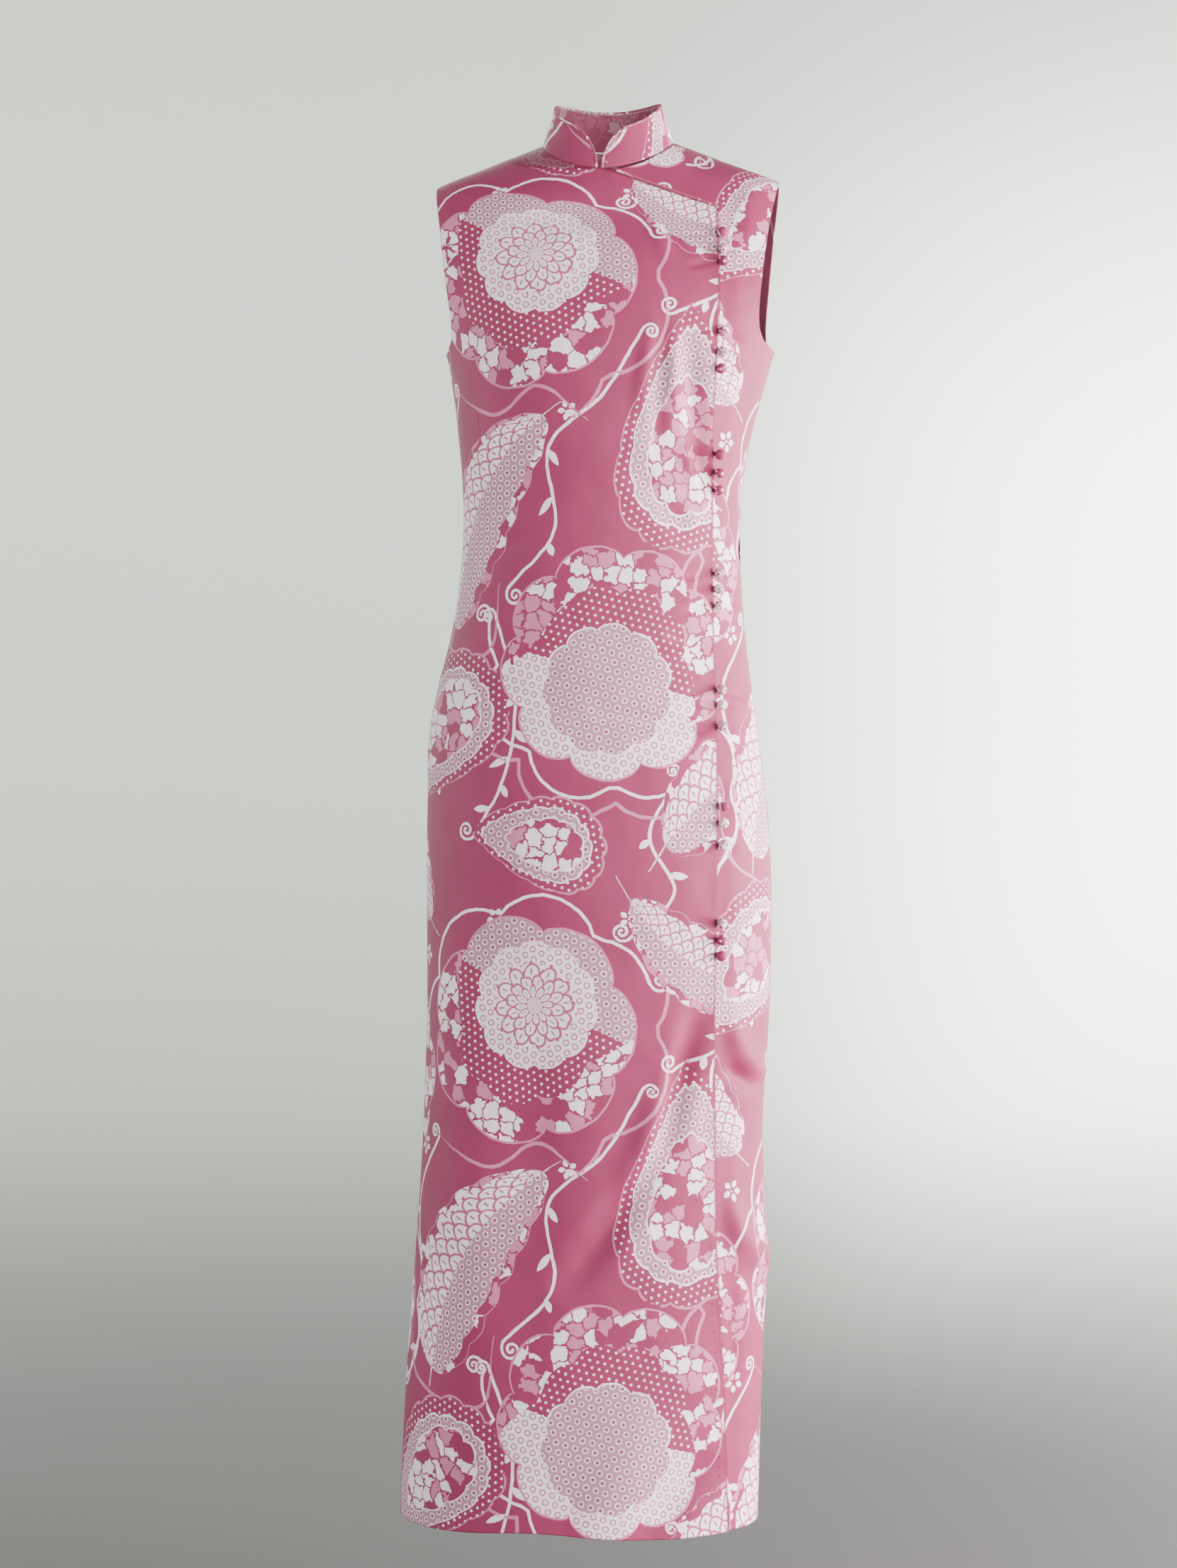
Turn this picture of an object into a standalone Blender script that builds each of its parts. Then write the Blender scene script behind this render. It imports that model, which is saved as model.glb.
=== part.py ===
"""Column dress: sleeveless and full length, with a stand collar and a side front that buttons.

Metres, +Z up. The dress faces -Y and keeps the hollow form in which it is worn. The origin is
the centre of the neck base, level with the points where the shoulder seams meet the collar.
The button side is +X. Every cloth piece is a wall between an outer and an inner surface.
"""

import math

import bmesh
import bpy
import numpy as np
from mathutils import Vector
from mathutils.bvhtree import BVHTree

# Cloth and seams
WALL = 0.0015
SEAM_GAP = 0.0003
LAP_GAP = 0.0006
LAP_GAP_CHEST = 0.0006
LAP_WIDTH = 0.030
LAP_EASE_START = 0.003
LAP_EASE_START_CHEST = 0.012
LAP_EASE = 0.018
LAP_CHEST_RISE = 0.030

# Form of the body of the dress, a row for each level: the middle of the section across, its half
# width, its depth in front of and behind the side seams, and the power of its roundness.
BODY_COLUMNS = ("height", "centre", "half_width", "front", "back", "power")
BODY_ROWS = (
    (0.020, 0.0000, 0.2050, 0.089, 0.057, 0.98),
    (-0.040, 0.0000, 0.2050, 0.082, 0.066, 0.98),
    (-0.080, 0.0000, 0.2040, 0.087, 0.079, 0.96),
    (-0.126, 0.0000, 0.1990, 0.103, 0.088, 0.94),
    (-0.160, 0.0005, 0.1900, 0.114, 0.090, 0.93),
    (-0.190, 0.0014, 0.1770, 0.121, 0.089, 0.93),
    (-0.214, 0.0022, 0.1668, 0.125, 0.087, 0.93),
    (-0.250, 0.0004, 0.1580, 0.127, 0.084, 0.93),
    (-0.290, -0.0027, 0.1500, 0.123, 0.080, 0.94),
    (-0.340, -0.0052, 0.1430, 0.113, 0.074, 0.95),
    (-0.400, -0.0066, 0.1410, 0.104, 0.070, 0.95),
    (-0.450, -0.0080, 0.1438, 0.102, 0.077, 0.95),
    (-0.500, -0.0103, 0.1498, 0.105, 0.090, 0.95),
    (-0.550, -0.0137, 0.1595, 0.109, 0.103, 0.95),
    (-0.600, -0.0149, 0.1677, 0.113, 0.112, 0.95),
    (-0.660, -0.0117, 0.1720, 0.117, 0.117, 0.94),
    (-0.720, -0.0099, 0.1747, 0.120, 0.116, 0.93),
    (-0.860, -0.0098, 0.1742, 0.121, 0.110, 0.91),
    (-1.000, -0.0155, 0.1726, 0.119, 0.106, 0.90),
    (-1.120, -0.0171, 0.1788, 0.120, 0.107, 0.90),
    (-1.250, -0.0247, 0.1808, 0.122, 0.109, 0.90),
    (-1.400, -0.0300, 0.1822, 0.124, 0.111, 0.90),
)

# Neck and shoulders
NECK_HALF = 0.066
NECK_DEPTH = 0.062
NECK_DIP = 0.01475
NOTCH_X = -0.003
SHOULDER_TIP = (0.174, -0.042)
SHOULDER_BEND = 0.030
NECK_REACH = math.hypot(NECK_HALF, SHOULDER_BEND)
SHOULDER_SLOPE = SHOULDER_TIP[1] / (math.hypot(SHOULDER_TIP[0], SHOULDER_BEND) - NECK_REACH)
SHOULDER_ROUNDING = 0.065

# The lean of the neck: near it the form is sheared, so that it rises from front to back. Heights
# down to the chest, also those of the tables below, are the heights before this lean.
LEAN = 0.333
LEAN_TOP = -0.010
LEAN_FOOT = -0.126
LEAN_HALF = (0.080, 0.170)

# Armholes, a row for each level: how far from the middle the cut edge lies, front and back.
ARMHOLE_COLUMNS = ("height", "front", "back")
ARMHOLE_ROWS = (
    (-0.042, 0.1740, 0.1740),
    (-0.060, 0.1712, 0.1716),
    (-0.085, 0.1665, 0.1680),
    (-0.115, 0.1622, 0.1648),
    (-0.145, 0.1585, 0.1618),
    (-0.170, 0.1555, 0.1592),
    (-0.190, 0.1540, 0.1580),
    (-0.203, 0.1555, 0.1592),
    (-0.211, 0.1605, 0.1625),
    (-0.214, 0.1668, 0.1668),
)
UNDERARM = -0.214
CHEST = 3 * SHOULDER_TIP[1]
HEM = -1.387
HEM_LIFT = (0.007, -0.06, 0.07)
HEM_STRETCH = 0.1

# The overlap: a slant from the collar's notch to a corner, then an edge that falls to the hem.
SLANT_COLUMNS = ("across", "height")
SLANT_ROWS = (
    (-0.0030, -0.0147),
    (0.0125, -0.0190),
    (0.0307, -0.0272),
    (0.0911, -0.0575),
    (0.1133, -0.0720),
)
CORNER = SLANT_ROWS[-1]
EDGE_COLUMNS = ("height", "across")
EDGE_ROWS = (
    (-0.0720, 0.1133),
    (-0.1670, 0.1160),
    (-0.2890, 0.1110),
    (-0.4726, 0.1090),
    (-0.5443, 0.1112),
    (-0.6175, 0.1137),
    (-0.9100, 0.1119),
    (-1.1040, 0.1137),
    (-1.2377, 0.1200),
    (-1.3870, 0.1245),
)
UNDERLAP_COLUMNS = ("share", "across", "height")
UNDERLAP_ROWS = (
    (0.00, -0.0060, -0.0147),
    (0.35, 0.0180, -0.0480),
    (0.70, 0.0560, -0.0830),
    (1.00, 0.0850, -0.1260),
)

# Folds, a row for each: the two ends of its middle line, across and in height, then its
# half width and its depth, which is below nought for a trough and above it for a ridge.
FOLD_COLUMNS = ("x0", "z0", "x1", "z1", "width", "depth")
FOLD_RIPPLE = 0.8
FOLD_FADE = 0.25
FRONT_FOLDS = (
    (0.045, -0.060, 0.068, -0.150, 0.010, 0.0020),
    (0.085, -0.200, 0.106, -0.375, 0.013, -0.0045),
    (0.052, -0.190, 0.040, -0.290, 0.010, 0.0022),
    (0.072, -0.195, 0.071, -0.280, 0.009, 0.0020),
    (-0.010, -0.575, 0.110, -0.597, 0.012, -0.0035),
    (0.060, -0.500, 0.105, -0.520, 0.010, -0.0022),
    (0.098, -0.860, 0.060, -1.020, 0.016, -0.0050),
    (0.062, -1.010, -0.045, -1.150, 0.022, -0.0045),
    (0.080, -0.925, 0.020, -1.060, 0.020, 0.0030),
    (0.115, -1.310, 0.035, -1.390, 0.022, -0.0040),
    (0.060, -1.270, -0.020, -1.390, 0.030, 0.0030),
    (-0.150, -0.760, -0.130, -1.250, 0.035, 0.0025),
    (-0.120, -0.430, -0.060, -0.400, 0.014, -0.0020),
)
SIDE_FOLDS = (
    (0.118, -0.880, 0.160, -0.950, 0.014, 0.0025),
    (0.118, -0.925, 0.155, -0.955, 0.010, -0.0030),
    (0.112, -1.045, 0.165, -1.150, 0.016, 0.0035),
    (0.122, -1.120, 0.122, -1.260, 0.012, -0.0030),
    (0.120, -0.390, 0.136, -0.430, 0.010, -0.0015),
)
BACK_FOLDS = (
    (-0.110, -0.385, -0.030, -0.425, 0.014, -0.0030),
    (0.105, -0.375, 0.020, -0.440, 0.015, -0.0035),
    (-0.090, -0.450, 0.015, -0.470, 0.013, -0.0025),
    (0.120, -0.250, 0.060, -0.330, 0.016, -0.0025),
    (-0.125, -0.240, -0.075, -0.320, 0.015, -0.0025),
    (-0.100, -0.780, -0.125, -1.200, 0.030, 0.0035),
    (0.040, -0.820, 0.065, -1.385, 0.034, 0.0040),
    (-0.020, -0.800, -0.045, -1.330, 0.026, -0.0040),
    (0.110, -0.900, 0.120, -1.350, 0.024, -0.0035),
)

# Collar and its piping
COLLAR_HEIGHT = 0.038
COLLAR_GAP = 0.0004
COLLAR_LEAN_SIDE = math.radians(17.0)
COLLAR_LEAN_FRONT = math.radians(10.0)
COLLAR_CORNER = 0.031
COLLAR_END = 0.0047
PIPING_RADIUS = 0.0013
SLANT_PIPING_RADIUS = 0.0015
SLANT_PIPING_START = 0.0135
SLANT_PIPING_END = 0.001
SLANT_PIPING_GAP = 0.0006
SLANT_PIPING_LIFT = 0.0009

# Ball buttons and their loops
BUTTON_COLUMNS = ("top", "middle", "bottom")
BUTTON_ROWS = (
    (-0.1070, -0.1245, -0.1372),
    (-0.2060, -0.2257, -0.2418),
    (-0.3233, -0.3415, -0.3584),
    (-0.4405, -0.4560, -0.4728),
    (-0.5563, -0.5711, -0.5928),
    (-0.6708, -0.6876, -0.7094),
    (-0.7852, -0.8020, -0.8175),
)
BALL_RADIUS = 0.0052
BALL_HEIGHT = 0.0070
SHANK_RADIUS = 0.0013
BUTTON_FROM_EDGE = 0.0038
BUTTON_SEAT = 0.0006
LOOP_WIRE = 0.0008
LOOP_RADIUS = 0.0026

# How far above the panel a search for its face starts, and how far it goes
RAY_START = 0.020
RAY_LENGTH = 0.050

# Fineness of the grids
TOP_ROWS = 9
ARMHOLE_LEVELS = (-0.126, -0.148, -0.170, -0.187, -0.200, -0.208, -0.214)
BODY_LEVELS = 25
FRONT_COLUMNS_NECK = 12
FRONT_COLUMNS_SLANT = 9
LAP_COLUMNS = 3
SIDE_COLUMNS = 8
BACK_COLUMNS = 18
COLLAR_COLUMNS = 32
COLLAR_ROWS = 4
SLANT_PIPING_POINTS = 30
BALL_POINTS = 6
BALL_STEPS = 9
LOOP_POINTS = 6
MERGE_DISTANCE = 0.00005
SHARP_ANGLE = math.radians(40.0)

ROSE = (0.56, 0.13, 0.25, 1.0)
PALE_ROSE = (0.68, 0.30, 0.42, 1.0)
COTTON_ROUGHNESS = 0.75


def curve_through(rows, columns, name, at):
    """Reads a column of a table at any level, along a smooth curve through its rows.

    The curve is a cubic between each two rows, with the slope of their neighbours at both ends.
    """
    table = np.array(sorted(rows))
    knots, values = table[:, 0], table[:, columns.index(name)]
    slopes = np.gradient(values, knots)
    at = np.clip(np.asarray(at, float), knots[0], knots[-1])
    i = np.clip(np.searchsorted(knots, at) - 1, 0, len(knots) - 2)
    span = knots[i + 1] - knots[i]
    t = (at - knots[i]) / span
    start = (1 + 2 * t) * (1 - t) ** 2 * values[i] + t * (1 - t) ** 2 * span * slopes[i]
    end = t**2 * (3 - 2 * t) * values[i + 1] + t**2 * (t - 1) * span * slopes[i + 1]
    return start + end


def body(name, height):
    """A column of the body's table at any height."""
    return curve_through(BODY_ROWS, BODY_COLUMNS, name, height)


def smooth_step(t):
    t = np.clip(t, 0.0, 1.0)
    return t * t * (3 - 2 * t)


def shoulder_height(x):
    """The height of the shoulder seam: two straight slopes with a bend between, in the neck."""
    return SHOULDER_SLOPE * (np.hypot(x, SHOULDER_BEND) - NECK_REACH)


def fullness(x, z):
    """How far the section reaches at a point: 1 in the middle, 0 at the side and shoulder seams."""
    across = 1 - ((x - body("centre", z)) / body("half_width", z)) ** 2
    below = np.minimum((shoulder_height(x) - z) / SHOULDER_ROUNDING, 1.0)
    return across * below * (2 - below)


def surface_depth(x, z, facing):
    """The distance in Y from the side seams to the outer surface, before its folds."""
    reach = body("front" if facing < 0 else "back", z)
    return facing * reach * np.clip(fullness(x, z), 0, None) ** (body("power", z) / 2)


def lean(x, z):
    """How much a point rises for each metre that it lies further back."""
    near = smooth_step((z - LEAN_FOOT) / (LEAN_TOP - LEAN_FOOT))
    inner = 1 - smooth_step((np.abs(x) - LEAN_HALF[0]) / (LEAN_HALF[1] - LEAN_HALF[0]))
    return LEAN * near * inner


def form(x, z, facing):
    """Points on the form of the body, with the lean of the neck, and the normals there.

    The normal is the slope of the level function that is nought on the surface, turned by
    the lean.
    """
    y = surface_depth(x, z, facing)

    def level(x, y, z):
        reach = body("front" if facing < 0 else "back", z)
        return (np.abs(y) / reach) ** (2 / body("power", z)) - fullness(x, z)

    step = 1e-5
    normal = np.stack(
        [
            level(x + step, y, z) - level(x - step, y, z),
            level(x, y + step, z) - level(x, y - step, z),
            level(x, y, z + step) - level(x, y, z - step),
        ],
        axis=-1,
    )
    shear = lean(x, z)
    shear_x = (lean(x + step, z) - lean(x - step, z)) / (2 * step)
    shear_z = (lean(x, z + step) - lean(x, z - step)) / (2 * step)
    normal[..., 2] /= 1 + shear_z * y
    normal[..., 1] -= shear * normal[..., 2]
    normal[..., 0] -= shear_x * y * normal[..., 2]
    normal = normal / np.linalg.norm(normal, axis=-1, keepdims=True)
    return np.stack([x, y, z + shear * y], axis=-1), normal


def fold_height(x, z, folds):
    """How far the folds lift or sink the surface.

    Across a fold this is a ripple that fades out. Along it the ripple swells from one end to
    the other as half a sine wave.
    """
    height = np.zeros(np.broadcast(x, z).shape)
    for row in folds:
        fold = dict(zip(FOLD_COLUMNS, row))
        run = np.array([fold["x1"] - fold["x0"], fold["z1"] - fold["z0"]])
        length = np.hypot(*run)
        run = run / length
        dx, dz = x - fold["x0"], z - fold["z0"]
        along = np.clip((dx * run[0] + dz * run[1]) / length, 0, 1)
        across = (dz * run[0] - dx * run[1]) / fold["width"]
        ripple = (1 - FOLD_RIPPLE * across**2) * np.exp(-(across**2))
        height = height + fold["depth"] * ripple * np.sin(math.pi * along)
    return height


def edge_x(z):
    """Where the overlap's long edge lies across, at a height."""
    return curve_through(EDGE_ROWS, EDGE_COLUMNS, "across", z)


def slant_height(x):
    """The height of the slant, which runs on straight past both its ends."""
    inside = curve_through(SLANT_ROWS, SLANT_COLUMNS, "height", x)
    slope = (CORNER[1] - SLANT_ROWS[-2][1]) / (CORNER[0] - SLANT_ROWS[-2][0])
    return inside + np.maximum(x - CORNER[0], 0) * slope


def beyond_overlap(x, z):
    """How far a point lies past the overlap's edge, below nought where the overlap covers it."""
    rise = (CORNER[1] - SLANT_ROWS[0][1]) / (CORNER[0] - SLANT_ROWS[0][0])
    above = (z - slant_height(x)) * math.cos(math.atan(rise))
    return np.maximum(above, x - edge_x(z))


def hem_height(x, facing):
    lift, middle, width = HEM_LIFT
    return HEM + (lift * np.exp(-(((x - middle) / width) ** 2)) if facing < 0 else 0 * x)


def cloth_points(x, z, facing, folds, shift=0.0):
    """The outer and inner points of a wall, with its outer face moved out from the form by shift."""
    points, normal = form(x, z, facing)
    points[..., 1] += facing * SEAM_GAP / 2
    seam = smooth_step(fullness(x, z) / FOLD_FADE)
    lift = fold_height(x, z, folds) * seam + shift
    outer = points + normal * lift[..., None]
    return outer, outer - normal * WALL


def neck_angle_points(angle):
    """The neck seam across and in height. The angle is nought in front and a right angle at +X."""
    height = -NECK_DIP * np.cos(angle) ** 2
    return np.stack([NECK_HALF * np.sin(angle), height], axis=-1)


def edge_half_width(z, facing):
    """How far from the middle a panel reaches at each level: shoulder, armhole or side seam."""
    name = "front" if facing < 0 else "back"
    shoulder = np.sqrt((NECK_REACH + np.minimum(z, 0) / SHOULDER_SLOPE) ** 2 - SHOULDER_BEND**2)
    armhole = curve_through(ARMHOLE_ROWS, ARMHOLE_COLUMNS, name, z)
    side = body("half_width", z)
    lower = np.where(z > UNDERARM, armhole, side)
    return np.where(z > SHOULDER_TIP[1], shoulder, lower)


def lower_levels():
    fall = np.linspace(UNDERARM, HEM, BODY_LEVELS + 1)
    return np.concatenate([ARMHOLE_LEVELS, fall[1:]])


def side_line(facing, hand):
    """The shoulder seam and armhole edge from the neck to the chest, across and in height."""
    z = np.linspace(0.0, CHEST, TOP_ROWS + 1)
    return np.stack([hand * edge_half_width(z, facing), z], axis=-1)


def blended_patch(top, bottom, left, right):
    """Fills four edge curves: straight blends both ways, less the blend of the corners."""
    rows, columns = len(left), len(top)
    k = np.linspace(0, 1, rows)[:, None, None]
    f = np.linspace(0, 1, columns)[None, :, None]
    down = (1 - k) * top[None] + k * bottom[None]
    over = (1 - f) * left[:, None] + f * right[:, None]
    corners = (1 - k) * ((1 - f) * top[0] + f * top[-1]) + k * ((1 - f) * bottom[0] + f * bottom[-1])
    return down + over - corners


def stretched(grid, facing):
    """Drops the last levels of a grid to the hem's own line."""
    x, z = grid[..., 0], grid[..., 1]
    share = smooth_step((z / HEM - 1 + HEM_STRETCH) / HEM_STRETCH)
    grid[..., 1] = z + share * (hem_height(x, facing) - HEM)
    return grid


def front_columns(z):
    """The places of the front panel's columns at some levels, from the side seam to its edge."""
    half, centre = edge_half_width(z, -1), body("centre", z)
    lap = edge_x(z) - LAP_WIDTH
    last = np.arcsin((lap - centre) / half)
    count = FRONT_COLUMNS_NECK + FRONT_COLUMNS_SLANT
    angle = -math.pi / 2 + np.linspace(0, 1, count + 1) * (last + math.pi / 2)[:, None]
    wide = centre[:, None] + half[:, None] * np.sin(angle)
    narrow = lap[:, None] + LAP_WIDTH * np.linspace(0, 1, LAP_COLUMNS + 1)[1:]
    return np.concatenate([wide, narrow], axis=1)


def side_columns(z):
    """The same for the side panel, from its hidden edge to the side seam."""
    half, centre = edge_half_width(z, -1), body("centre", z)
    edge = edge_x(z)
    lapped = (edge - LAP_WIDTH)[:, None] + LAP_WIDTH * np.linspace(0, 1, LAP_COLUMNS + 1)
    first = np.arcsin((edge - centre) / half)
    angle = first[:, None] + np.linspace(0, 1, SIDE_COLUMNS + 1)[1:] * (math.pi / 2 - first)[:, None]
    return np.concatenate([lapped, centre[:, None] + half[:, None] * np.sin(angle)], axis=1)


def back_columns(z):
    angle = np.linspace(-math.pi / 2, math.pi / 2, BACK_COLUMNS + 1)
    return body("centre", z)[:, None] + edge_half_width(z, 1)[:, None] * np.sin(angle)


def panel_grid(top, left, right, columns, facing):
    """A panel's grid across and in height: a patch above the chest, then level rows to the hem."""
    levels = lower_levels()
    x = columns(levels)
    lower = np.stack([x, np.broadcast_to(levels[:, None], x.shape)], axis=-1)
    upper = blended_patch(top, lower[0], left, right)
    return stretched(np.concatenate([upper[:-1], lower]), facing)


def front_grid():
    notch = math.asin(NOTCH_X / NECK_HALF)
    neck = neck_angle_points(np.linspace(-math.pi / 2, notch, FRONT_COLUMNS_NECK + 1))
    x = np.linspace(NOTCH_X, CORNER[0], FRONT_COLUMNS_SLANT + LAP_COLUMNS + 1)[1:]
    slant = np.stack([x, slant_height(x)], axis=-1)
    z = np.linspace(CORNER[1], CHEST, TOP_ROWS + 1)
    edge = np.stack([edge_x(z), z], axis=-1)
    return panel_grid(np.concatenate([neck, slant]), side_line(-1, -1), edge, front_columns, -1)


def side_grid():
    start = math.asin(UNDERLAP_ROWS[0][1] / NECK_HALF)
    neck = neck_angle_points(np.linspace(start, math.pi / 2, LAP_COLUMNS + SIDE_COLUMNS + 1))
    share = np.linspace(0, 1, TOP_ROWS + 1)
    hidden = np.stack(
        [curve_through(UNDERLAP_ROWS, UNDERLAP_COLUMNS, name, share) for name in ("across", "height")],
        axis=-1,
    )
    hidden[0] = neck[0]
    hidden[-1] = (edge_x(CHEST) - LAP_WIDTH, CHEST)
    return panel_grid(neck, hidden, side_line(-1, 1), side_columns, -1)


def back_grid():
    neck = neck_angle_points(np.linspace(-math.pi / 2, -3 * math.pi / 2, BACK_COLUMNS + 1))
    return panel_grid(neck, side_line(1, -1), side_line(1, 1), back_columns, 1)


def side_shift(x, z):
    """How the side panel leaves the front's folds: it has its own ones beside the overlap, and
    under it the panel sinks and follows only the troughs."""
    chest = smooth_step((z - CHEST) / LAP_CHEST_RISE)
    start = LAP_EASE_START + LAP_EASE_START_CHEST * chest
    ease = smooth_step((beyond_overlap(x, z) - start) / LAP_EASE)
    depth = WALL + LAP_GAP + LAP_GAP_CHEST * chest
    ridges = np.maximum(fold_height(x, z, FRONT_FOLDS), 0)
    return fold_height(x, z, SIDE_FOLDS) * ease - (ridges + depth) * (1 - ease)


def collar_frame(angle):
    """The collar's base points, the way it rises and its outward normal, for angles round it."""
    angle = np.asarray(angle, float)
    x, z = neck_angle_points(angle).T
    in_front = (np.cos(angle) >= 0)[:, None]
    base = np.where(in_front, form(x, z, -1)[0], form(x, z, 1)[0])
    out = np.stack([np.sin(angle) / NECK_HALF, -np.cos(angle) / NECK_DEPTH, 0 * angle], axis=-1)
    out = out / np.linalg.norm(out, axis=-1, keepdims=True)
    lean = COLLAR_LEAN_FRONT + (COLLAR_LEAN_SIDE - COLLAR_LEAN_FRONT) * np.sin(angle) ** 2
    up = np.array([0.0, 0.0, 1.0])
    rise = up * np.cos(lean)[:, None] - out * np.sin(lean)[:, None]
    normal = out * np.cos(lean)[:, None] + up * np.sin(lean)[:, None]
    return base, rise, normal


def collar_angles():
    """A grid of angles and of shares of the height, with rounded ends at the notch."""
    lift = np.linspace(0, math.pi / 2, COLLAR_ROWS + 1)
    shift = (COLLAR_END + COLLAR_CORNER * (1 - np.cos(lift))) / NECK_HALF
    middle = math.asin(NOTCH_X / NECK_HALF)
    share = np.linspace(0, 1, COLLAR_COLUMNS + 1)
    start, end = middle + shift, middle + 2 * math.pi - shift
    angles = start[:, None] + share * (end - start)[:, None]
    return angles, np.broadcast_to(np.sin(lift)[:, None], angles.shape)


def collar_points():
    angles, height = collar_angles()
    base, rise, normal = collar_frame(angles.ravel())
    shape = angles.shape + (3,)
    base, rise, normal = base.reshape(shape), rise.reshape(shape), normal.reshape(shape)
    outer = base + rise * (COLLAR_GAP + COLLAR_HEIGHT * height)[..., None]
    return outer, outer - normal * WALL, normal


def finish(name, tone):
    """A plain cotton finish."""
    material = bpy.data.materials.new(name)
    material.use_nodes = True
    shader = material.node_tree.nodes["Principled BSDF"]
    shader.inputs["Base Color"].default_value = tone
    shader.inputs["Roughness"].default_value = COTTON_ROUGHNESS
    shader.inputs["Metallic"].default_value = 0.0
    return material


def place(obj, material, group):
    obj.data.materials.append(material)
    group.objects.link(obj)
    return obj


def wall_mesh(name, outer, inner):
    """A closed wall: the outer grid, the inner grid, and a strip along each of its four edges."""
    rows, columns = outer.shape[:2]
    index = np.arange(rows * columns).reshape(rows, columns)
    deep = index + rows * columns

    def quads(a, b, c, d):
        return np.stack([a.ravel(), b.ravel(), c.ravel(), d.ravel()], axis=1)

    faces = [
        quads(index[:-1, :-1], index[:-1, 1:], index[1:, 1:], index[1:, :-1]),
        quads(deep[:-1, :-1], deep[1:, :-1], deep[1:, 1:], deep[:-1, 1:]),
        quads(index[0, 1:], index[0, :-1], deep[0, :-1], deep[0, 1:]),
        quads(index[-1, :-1], index[-1, 1:], deep[-1, 1:], deep[-1, :-1]),
        quads(index[:-1, 0], index[1:, 0], deep[1:, 0], deep[:-1, 0]),
        quads(index[1:, -1], index[:-1, -1], deep[:-1, -1], deep[1:, -1]),
    ]
    points = np.concatenate([outer.reshape(-1, 3), inner.reshape(-1, 3)])
    mesh = bpy.data.meshes.new(name)
    mesh.from_pydata(points.tolist(), [], np.concatenate(faces).tolist())
    work = bmesh.new()
    work.from_mesh(mesh)
    bmesh.ops.recalc_face_normals(work, faces=work.faces)
    work.to_mesh(mesh)
    work.free()
    mesh.shade_smooth()
    mesh.set_sharp_from_angle(angle=SHARP_ANGLE)
    return mesh


def cloth_object(name, outer, inner, material, group):
    return place(bpy.data.objects.new(name, wall_mesh(name, outer, inner)), material, group)


def tube(name, points, radius, material, group):
    """A round tube with filled ends along straight stretches between points."""
    path = bpy.data.curves.new(name, "CURVE")
    path.dimensions = "3D"
    path.bevel_depth = radius
    path.bevel_resolution = 1
    path.use_fill_caps = True
    spline = path.splines.new("POLY")
    spline.points.add(len(points) - 1)
    spline.points.foreach_set("co", np.column_stack([points, np.ones(len(points))]).ravel())
    return place(bpy.data.objects.new(name, path), material, group)


def make_panels(material, group):
    """The three panels of the body, and the side panel's faces for what is set on it."""
    front = front_grid()
    cloth_object(
        "front_panel", *cloth_points(front[..., 0], front[..., 1], -1, FRONT_FOLDS), material, group
    )
    back = back_grid()
    cloth_object(
        "back_panel", *cloth_points(back[..., 0], back[..., 1], 1, BACK_FOLDS), material, group
    )
    side = side_grid()
    x, z = side[..., 0], side[..., 1]
    outer, inner = cloth_points(x, z, -1, FRONT_FOLDS, side_shift(x, z))
    panel = cloth_object("side_panel", outer, inner, material, group)
    work = bmesh.new()
    work.from_mesh(panel.data)
    bmesh.ops.triangulate(work, faces=work.faces)
    faces = BVHTree.FromBMesh(work)
    work.free()
    return faces


def seated(faces, point, normal, height):
    """The point's foot on the side panel's own faces, lifted by a height along the normal."""
    return faces.ray_cast(point + normal * RAY_START, -normal, RAY_LENGTH)[0] + normal * height


def on_panel(faces, x, z, height):
    """A point at a height above the side panel's own faces, and the form's normal there."""
    point, normal = form(np.array([x]), np.array([z]), -1)
    normal = Vector(normal[0])
    return seated(faces, Vector(point[0]), normal, height), normal


def make_collar(material, piping, group):
    outer, inner, normal = collar_points()
    cloth_object("collar", outer, inner, material, group)
    middle = (outer + inner) / 2
    edge = np.concatenate([middle[:, 0], middle[-1, 1:-1], middle[::-1, -1]])
    inward = np.concatenate([middle[:, 1], middle[-2, 1:-1], middle[::-1, -2]])
    outwards = edge - inward
    facing = np.concatenate([normal[:, 0], normal[-1, 1:-1], normal[::-1, -1]])
    along = np.gradient(edge, axis=0)
    along = along / np.linalg.norm(along, axis=1, keepdims=True)
    away = np.cross(along, facing)
    away = away * np.sign(np.sum(away * outwards, axis=1, keepdims=True))
    away = away / np.linalg.norm(away, axis=1, keepdims=True)
    path = edge + away * (PIPING_RADIUS + SEAM_GAP)
    tube("collar_piping", path, PIPING_RADIUS, piping, group)


def make_slant_piping(faces, material, group):
    """The piping on the slant, beside the front panel's edge and just above the side panel."""
    x = np.linspace(SLANT_PIPING_START, CORNER[0] - SLANT_PIPING_END, SLANT_PIPING_POINTS)
    z = slant_height(x)
    slope = np.gradient(z, x)
    away = SLANT_PIPING_RADIUS + SLANT_PIPING_GAP
    x_out = x - away * slope / np.hypot(1, slope)
    z_out = z + away / np.hypot(1, slope)
    height = SLANT_PIPING_RADIUS + SLANT_PIPING_LIFT
    points = [on_panel(faces, a, b, height)[0] for a, b in zip(x_out, z_out)]
    tube("front_edge_piping", np.array(points), SLANT_PIPING_RADIUS, material, group)


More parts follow.
